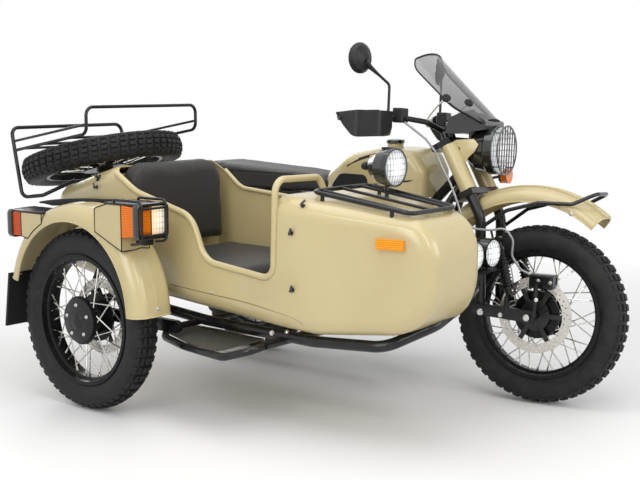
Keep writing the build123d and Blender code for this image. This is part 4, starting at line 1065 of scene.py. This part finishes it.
for finish, named in FINISHES.items():
    for node in named:
        paint(nodes[node], materials[finish])

wheels()
bench = stuffed("bench_seat_cover", "bench_seat", shrink=0.006, voxel=0.008, cap=0.010)
stuffed("passenger_cushion", "seat_cushion", shrink=0.008, voxel=0.009, cap=0.014)
back_pad = stuffed("passenger_backrest", "backrest", shrink=0.006, voxel=0.009, cap=0.010)


# Piping on the seats
def seat_piping(name, pad, side):
    """A round piping where the bench's top meets its side, laid on the cover."""
    spots = []
    for x in range(-255, 440, 34):
        found, spot, facing, face = pad.ray_cast(at(x, side * 420, 1010), Vector((0, -side * 0.87, -0.5)))
        if found:
            spots.append(spot)
    return dress(bead(name, spots, 0.0032), "soft_rubber", "chassis", "black_rubber")


# The backrest's side seam, as pixels of the photograph
BACK_SEAM = ((130, 164), (129, 172), (130, 181), (132.5, 190), (136, 199), (140, 207))

for number, side in enumerate((-1, 1)):
    seat_piping("bench_piping_" + str(number), bench, side)
seam_spots = laid(BACK_SEAM, back_pad)
dress(bead("backrest_piping", seam_spots, 0.0026), "seat_vinyl", "chassis", "black_vinyl")


# Rolled edges and gaskets: name, node, least angle of an edge that counts, radius, finish, body and slot
EDGES = (
    ("sidecar_fender_roll", "sidecar_fender", 60, 0.0030, "sand_gloss", "chassis", "sand_paint"),
    ("front_fender_roll", "front_fender", 60, 0.0028, "sand_gloss", "steering", "sand_paint"),
    ("rear_fender_roll", "rear_fender", 60, 0.0028, "sand_gloss", "chassis", "sand_paint"),
    ("windscreen_trim", "windscreen", 50, 0.0030, "soft_rubber", "steering", "black_rubber"),
    ("lamp_pod_gasket", "corner_lamps", 50, 0.0022, "soft_rubber", "chassis", "black_rubber"),
)
for name, node, sharp, radius, *rest in EDGES:
    dress(edge_bead(name, node, sharp, radius), *rest)

# Lines seen in the photograph, as pixels: the tub's lower seam and the tank's two black strips
TUB_SEAM = ((170, 284), (190, 289), (210, 294), (230, 298.5), (250, 303.5))
TUB_SEAM += ((276, 312), (297, 319), (303, 325))
TANK_CREST = ((347, 166), (352, 162.5), (360, 159), (370, 155.5), (380, 153), (388, 151.5))
TANK_BELT = ((366, 185), (376, 184), (388, 183), (400, 182), (412, 181), (422, 180))
# How far a tank strip stands out of the paint
STRIP_PROUD = 0.0016
# The tub's lower seam: a thin dark bead of painted shadow laid along the crease.
seam_shadow_line = laid(TUB_SEAM, nodes["sidecar_tub"])
dress(bead("tub_seam_shadow", seam_shadow_line, 0.0016), "painted_seam_shadow", "chassis", "sand_paint")
for name, run, radius in (("tank_crest", TANK_CREST, 0.016), ("tank_belt", TANK_BELT, 0.022)):
    near = laid(run, nodes["fuel_tank"], radius - STRIP_PROUD)
    far = [Vector((spot.x, 2 * REAR_AXLE.y - spot.y, spot.z)) for spot in near]
    for side, spots in (("_right", near), ("_left", far)):
        dress(bead(name + side, spots, radius), "soft_rubber", "chassis", "black_rubber")


# Corner lamp bezels: name, middle in drawing millimetres, then width, height, bar, depth and corner in metres
BEZELS = (
    ("front_lens_bezel", (586, -1196, 750), (0.150, 0.130, 0.013, 0.026, 0.02)),
    ("rear_lens_bezel", (-146, -1196, 694), (0.146, 0.112, 0.012, 0.028, 0.02)),
)
for name, centre, measures in BEZELS:
    ring = bezel(name, *measures)
    ring.data.transform(Matrix.Translation(at(*centre)))
    dress(ring, "gloss_black", "chassis", "black_paint")

# Black caps and feet of the lamps: name, low corner and high corner
LAMP_CAPS = (
    ("front_lamp_cap", (424, -1264, 805), (590, -1128, 812)),
    ("rear_lamp_cap", (-122, -1264, 741), (58, -1128, 748)),
    ("front_lamp_foot", (540, -1216, 662), (590, -1176, 688)),
    ("lens_divider", (598, -1198, 692), (603, -1194, 808)),
)
for name, low, high in LAMP_CAPS:
    dress(slab(name, low, high), "moulded_plastic", "chassis", "black_plastic")
PLATE_EDGE = ((486, -884, 302), (852, -878, 312))
dress(slab("step_plate_edge", *PLATE_EDGE), "bright_steel", "chassis", "bright_steel")


# Fasteners
def bolts(name, rows, body, finish, slot):
    """Bolt heads where the photograph shows them: pixel across and down, head radius and carrier."""
    places = []
    for across, down, radius, carrier in rows:
        hit = seen(across, down, nodes[carrier])
        if hit:
            places.append(pointing(*hit) @ Matrix.Scale(radius, 4))
    return dress(scattered(name, bolt_head(), places), finish, body, slot)


TUB_BOLTS = (
    (158, 309, 0.0055, "sidecar_fender"),
    (212, 292.5, 0.004, "sidecar_tub"),
    (159, 321, 0.008, "sidecar_frame"),
    (272, 333, 0.007, "sidecar_frame"),
    (287, 332, 0.007, "sidecar_frame"),
)
FORK_BOLTS = (
    (571, 214, 0.0065, "front_fender"),
    (482, 224, 0.006, "fender_loop"),
    (538, 281, 0.0055, "leading_links"),
    (550, 283, 0.0055, "leading_links"),
    (480, 312, 0.009, "leading_links"),
    (500, 315, 0.0065, "leading_links"),
    (526, 318, 0.009, "leading_links"),
    (536, 300, 0.006, "leading_links"),
)


def turn_button():
    """A black turn button: a round foot and a tongue across it."""
    foot = peg(0.0085, 0.004, 0.002, 20, 0.001, 2)
    stem = peg(0.0035, 0.012, 0.008, 12, 0.0008)
    tongue = bar((0.026, 0.008, 0.006), (0.006, 0, 0.014), 0.002)
    return join("turn_button", [foot, stem, tongue])


# The tub's turn buttons, as pixels, with the turn of each tongue in degrees
BUTTONS = ((303, 206, 60), (291.5, 233, 70), (292.5, 290, 70), (97, 187, 100))
button_places = []
for across, down, roll in BUTTONS:
    spot, facing = seen(across, down, nodes["sidecar_tub"])
    button_places.append(pointing(spot, facing, math.radians(roll)))
buttons = scattered("tub_buttons", turn_button(), button_places)
dress(buttons, "gloss_black", "chassis", "black_paint")


# The trunk's latch, as a pixel
LATCH = (99, 178)


def trunk_latch():
    """The trunk's T-handle on its round plate."""
    spot, facing = seen(*LATCH, nodes["sidecar_tub"])
    plate = peg(0.015, 0.004, 0.002, 28, 0.001, 2)
    stem = peg(0.006, 0.022, 0.012, 14, 0.001)
    handle = bar((0.048, 0.011, 0.009), (0.004, 0, 0.024), 0.003, 3)
    latch = join("trunk_latch", [plate, stem, handle])
    latch.data.transform(pointing(spot, facing))
    return dress(smooth(latch), "gloss_black", "chassis", "black_paint")


# Bolts of one side of the engine, along and up in drawing millimetres: rocker cover, then crankcase
COVER_BOLTS = ((758, 408), (842, 408), (758, 502), (842, 502), (800, 455))
CASE_BOLTS = ((650, 346), (760, 330), (880, 332), (930, 420))
CASE_BOLTS += ((922, 530), (840, 584), (720, 582), (644, 510))
# Both sets: their places, how far they stand from the middle in millimetres, and head radius in metres
ENGINE_BOLTS = ((COVER_BOLTS, 352, 0.0065), (CASE_BOLTS, 95, 0.006))


def engine_bolts():
    """Bolt heads on both rocker covers and both sides of the crankcase."""
    places = []
    for side in (-1, 1):
        for spots, reach, radius in ENGINE_BOLTS:
            for x, z in spots:
                places.append(pointing(at(x, side * reach, z), (0, side, 0)) @ Matrix.Scale(radius, 4))
    dress(scattered("engine_bolts", bolt_head(), places), "bright_steel", "chassis", "bright_steel")


engine_bolts()
bolts("tub_bolts", TUB_BOLTS, "chassis", "bright_steel", "bright_steel")
bolts("fork_bolts", FORK_BOLTS, "steering", "bright_steel", "bright_steel")
trunk_latch()


# Mirrors, dial and filler
MIRROR_HEADS = ((840, -342, 1307, 1), (840, 342, 1307, -1))
MIRROR_RIM = [(0.0, 0.0), (0.056, 0.0), (0.0585, 0.0008), (0.0585, 0.002), (0.055, 0.0026), (0.0, 0.0034)]
MIRROR_SEAT = 0.0108


def mirrors():
    """Silvered glass in both mirror cups, on the rider's side."""
    for number, (x, y, z, lean) in enumerate(MIRROR_HEADS):
        rear = Vector((-0.96, lean * 0.28, 0)).normalized()
        turn = Vector((0, 1, 0)).rotation_difference(rear).to_matrix().to_4x4()
        place = STEERED @ Matrix.Translation(at(x, y, z) + rear * MIRROR_SEAT) @ turn
        glass = mounted("mirror_glass_" + str(number), MIRROR_RIM, 40, place)
        dress(glass, "mirror_glass", "steering", "bright_steel")


# A mirror's stalk from its bend to its cup, and how its neck swells: share of the way and radius
MIRROR_BEND = (905, 228, 1212)
MIRROR_CUP = (844, 336, 1297)
NECK = ((0.4, 0.0062), (0.62, 0.008), (0.82, 0.0125), (0.97, 0.021))


def mirror_necks():
    """The tapered necks that carry the mirror cups on their stalks."""
    for number, side in enumerate((-1, 1)):
        bend, cup = [STEERED @ at(x, side * y, z) for x, y, z in (MIRROR_BEND, MIRROR_CUP)]
        spots = [bend.lerp(cup, share) for share, radius in NECK]
        neck = bead("mirror_neck_" + str(number), spots, 1.0, [radius for share, radius in NECK])
        dress(neck, "moulded_plastic", "steering", "black_plastic")


# The windscreen's knobs as pixels, and the bend of the handlebar that the stay of each starts from
SCREEN_KNOBS = ((446, 99, (1018, -120, 1072)), (468, 104, (1018, 120, 1072)))
KNOB = [(0.0, 0.0), (0.015, 0.0), (0.018, 0.003), (0.018, 0.009), (0.014, 0.013), (0.0, 0.014)]
KNOB_DEEP = 0.012
STAY_BOW = Vector((-0.012, 0, 0.012))


def screen_stays():
    """Two steel stays from the handlebar to rubber knobs behind the windscreen."""
    for number, (across, down, bend) in enumerate(SCREEN_KNOBS):
        hit = seen(across, down, nodes["windscreen"])
        spot = hit[0] + sight(across, down) * KNOB_DEEP
        knob = mounted("screen_knob_" + str(number), KNOB, 24, pointing(spot, hit[1]) @ Y_TO_Z)
        dress(knob, "soft_rubber", "steering", "black_rubber")
        foot = STEERED @ at(*bend)
        bow = foot.lerp(spot, 0.5) + STAY_BOW
        stay = bead("screen_stay_" + str(number), [foot, bow, spot], 0.004)
        dress(stay, "bright_steel", "steering", "bright_steel")


# The rolled outer edge of the sidecar's side strip: place in drawing millimetres and radius in metres
STRIP_ROLL = ((-238, 750, 0.004), (-160, 757, 0.010), (-20, 768, 0.0125))
STRIP_ROLL += ((120, 778, 0.011), (234, 786, 0.004))
STRIP_EDGE = -1042


def strip_roll():
    """The thick rubber roll along the outer edge of the side strip."""
    spots = [at(x, STRIP_EDGE, z) for x, z, radius in STRIP_ROLL]
    roll = bead("side_strip_roll", spots, 1.0, [radius for x, z, radius in STRIP_ROLL])
    dress(roll, "soft_rubber", "chassis", "black_rubber")


def speed_dial():
    """A round dial in the instrument pod: a bright rim over a marked face."""
    stand = STEERED @ pointing(at(*DIAL_AT), DIAL_TILT) @ Y_TO_Z
    face = [(0.0, 0.0), (0.033, 0.0), (0.033, 0.004), (0.02, 0.0055), (0.0, 0.006)]
    rim = [(0.033, -0.006), (0.039, -0.006), (0.039, 0.006), (0.036, 0.0085), (0.033, 0.007)]
    for name, points, finish, slot in (
        ("dial_face", face, "dial_face", "black_paint"), ("dial_rim", rim, "bright_steel", "bright_steel"),
    ):
        dress(mounted(name, points, 48, stand), finish, "steering", slot)


FILLER = (800, 0, 984)
FILLER_CAP = [(0.0, 0.0), (0.037, 0.0), (0.0385, 0.002), (0.0385, 0.012)]
FILLER_CAP += [(0.036, 0.0155), (0.018, 0.018), (0.0, 0.0185)]


def filler_cap():
    """The tank's domed filler cap."""
    piece = mounted("filler_cap", FILLER_CAP, 48, Matrix.Translation(at(*FILLER)) @ Y_TO_Z)
    dress(piece, "gloss_black", "chassis", "black_paint")


# Outline of a headlamp ear in side view, in drawing millimetres, and how far it stands from the middle
EAR = ((1100, 985), (1140, 1006), (1216, 1012), (1238, 990))
EAR += ((1222, 962), (1196, 938), (1180, 905), (1172, 866))
EAR_BOLT = (1152, 970)
EAR_SIDE = 88
EAR_T = 0.005


def headlamp_ears():
    """The painted ears between the fork shrouds and the headlamp, each with its bolt."""
    places = []
    for number, side in enumerate((-1, 1)):
        ear = outline("headlamp_ear_" + str(number), [at(x, side * EAR_SIDE, z) for x, z in EAR])
        edit(ear)
        bpy.ops.mesh.edge_face_add()
        bpy.ops.mesh.select_all(action="SELECT")
        bpy.ops.mesh.extrude_region_move(TRANSFORM_OT_translate={"value": (0, side * EAR_T, 0)})
        bpy.ops.mesh.select_all(action="SELECT")
        bpy.ops.mesh.normals_make_consistent(inside=False)
        done()
        rounded(ear, 0.0015)
        ear.data.transform(STEERED)
        dress(ear, "sand_gloss", "steering", "sand_paint")
        spot = at(EAR_BOLT[0], side * EAR_SIDE, EAR_BOLT[1]) + Vector((0, side * EAR_T, 0))
        places.append(STEERED @ pointing(spot, (0, side, 0)) @ Matrix.Scale(0.0055, 4))
    heads = scattered("headlamp_ear_bolts", bolt_head(), places)
    dress(heads, "frame_black", "steering", "black_paint")


SPOT_BACK = (1160, -640, 938)
SPOT_KNOB = [(0.0, 0.0), (0.008, 0.0), (0.008, 0.018), (0.014, 0.022)]
SPOT_KNOB += [(0.016, 0.034), (0.012, 0.044), (0.0, 0.046)]
SPOT_STRAP = ((1206, -654, 1000), (1252, -626, 1009))


def spot_handle():
    """The turning knob behind the spot lamp and the strap over it."""
    place = Matrix.Translation(at(*SPOT_BACK)) @ Matrix.Rotation(math.pi / 2, 4, "Z")
    dress(mounted("spot_knob", SPOT_KNOB, 24, place, 40.0), "moulded_plastic", "chassis", "black_plastic")
    strap = slab("spot_strap", *SPOT_STRAP, 0.003)
    dress(strap, "moulded_plastic", "chassis", "black_plastic")


mirrors()
mirror_necks()
screen_stays()
strip_roll()
speed_dial()
filler_cap()
headlamp_ears()
spot_handle()


# Floor and background
def pale_floor():
    """A pale floor that keeps the shadow and runs out to white."""
    alone()
    bpy.ops.mesh.primitive_circle_add(vertices=96, radius=30.0, fill_type="NGON")
    floor = bpy.context.object
    floor.name = "studio_floor"
    finish = Finish("studio_floor", (0.86, 0.86, 0.86), 0.6)
    reach = finish.vector("LENGTH", finish.place, out="Value")
    far = finish.spread(reach, 1.4, 4.0)
    white = finish.node("ShaderNodeEmission", None, {"Color": (1, 1, 1, 1), "Strength": 1.0}, "Emission")
    paths = ("Is Camera Ray", "Is Glossy Ray", "Is Transmission Ray")
    shown = [finish.node("ShaderNodeLightPath", None, None, path) for path in paths]
    amount = far * shown[0].top(shown[1]).top(shown[2])
    body = Wire(finish.tree, finish.shader.outputs[0])
    blend = finish.node("ShaderNodeMixShader", None, {0: amount, 1: body, 2: white})
    finish.tree.links.new(blend.socket, finish.tree.nodes["Material Output"].inputs["Surface"])
    floor.data.materials.append(finish.material)


def pale_world():
    """White to the camera and in reflections, softer as a light."""
    world = bpy.data.worlds.new("studio_world")
    world.use_nodes = True
    tree = world.node_tree
    back = tree.nodes["Background"]
    back.inputs["Color"].default_value = (1, 1, 1, 1)
    path = tree.nodes.new("ShaderNodeLightPath")
    direct = Wire(tree, path.outputs["Is Camera Ray"])
    shine = Wire(tree, path.outputs["Is Glossy Ray"])
    through = Wire(tree, path.outputs["Is Transmission Ray"])
    plug(tree, back.inputs["Strength"], 0.55 + direct.top(shine).top(through) * 0.45)
    bpy.context.scene.world = world


pale_floor()
pale_world()
bpy.context.scene.view_settings.view_transform = "Standard"
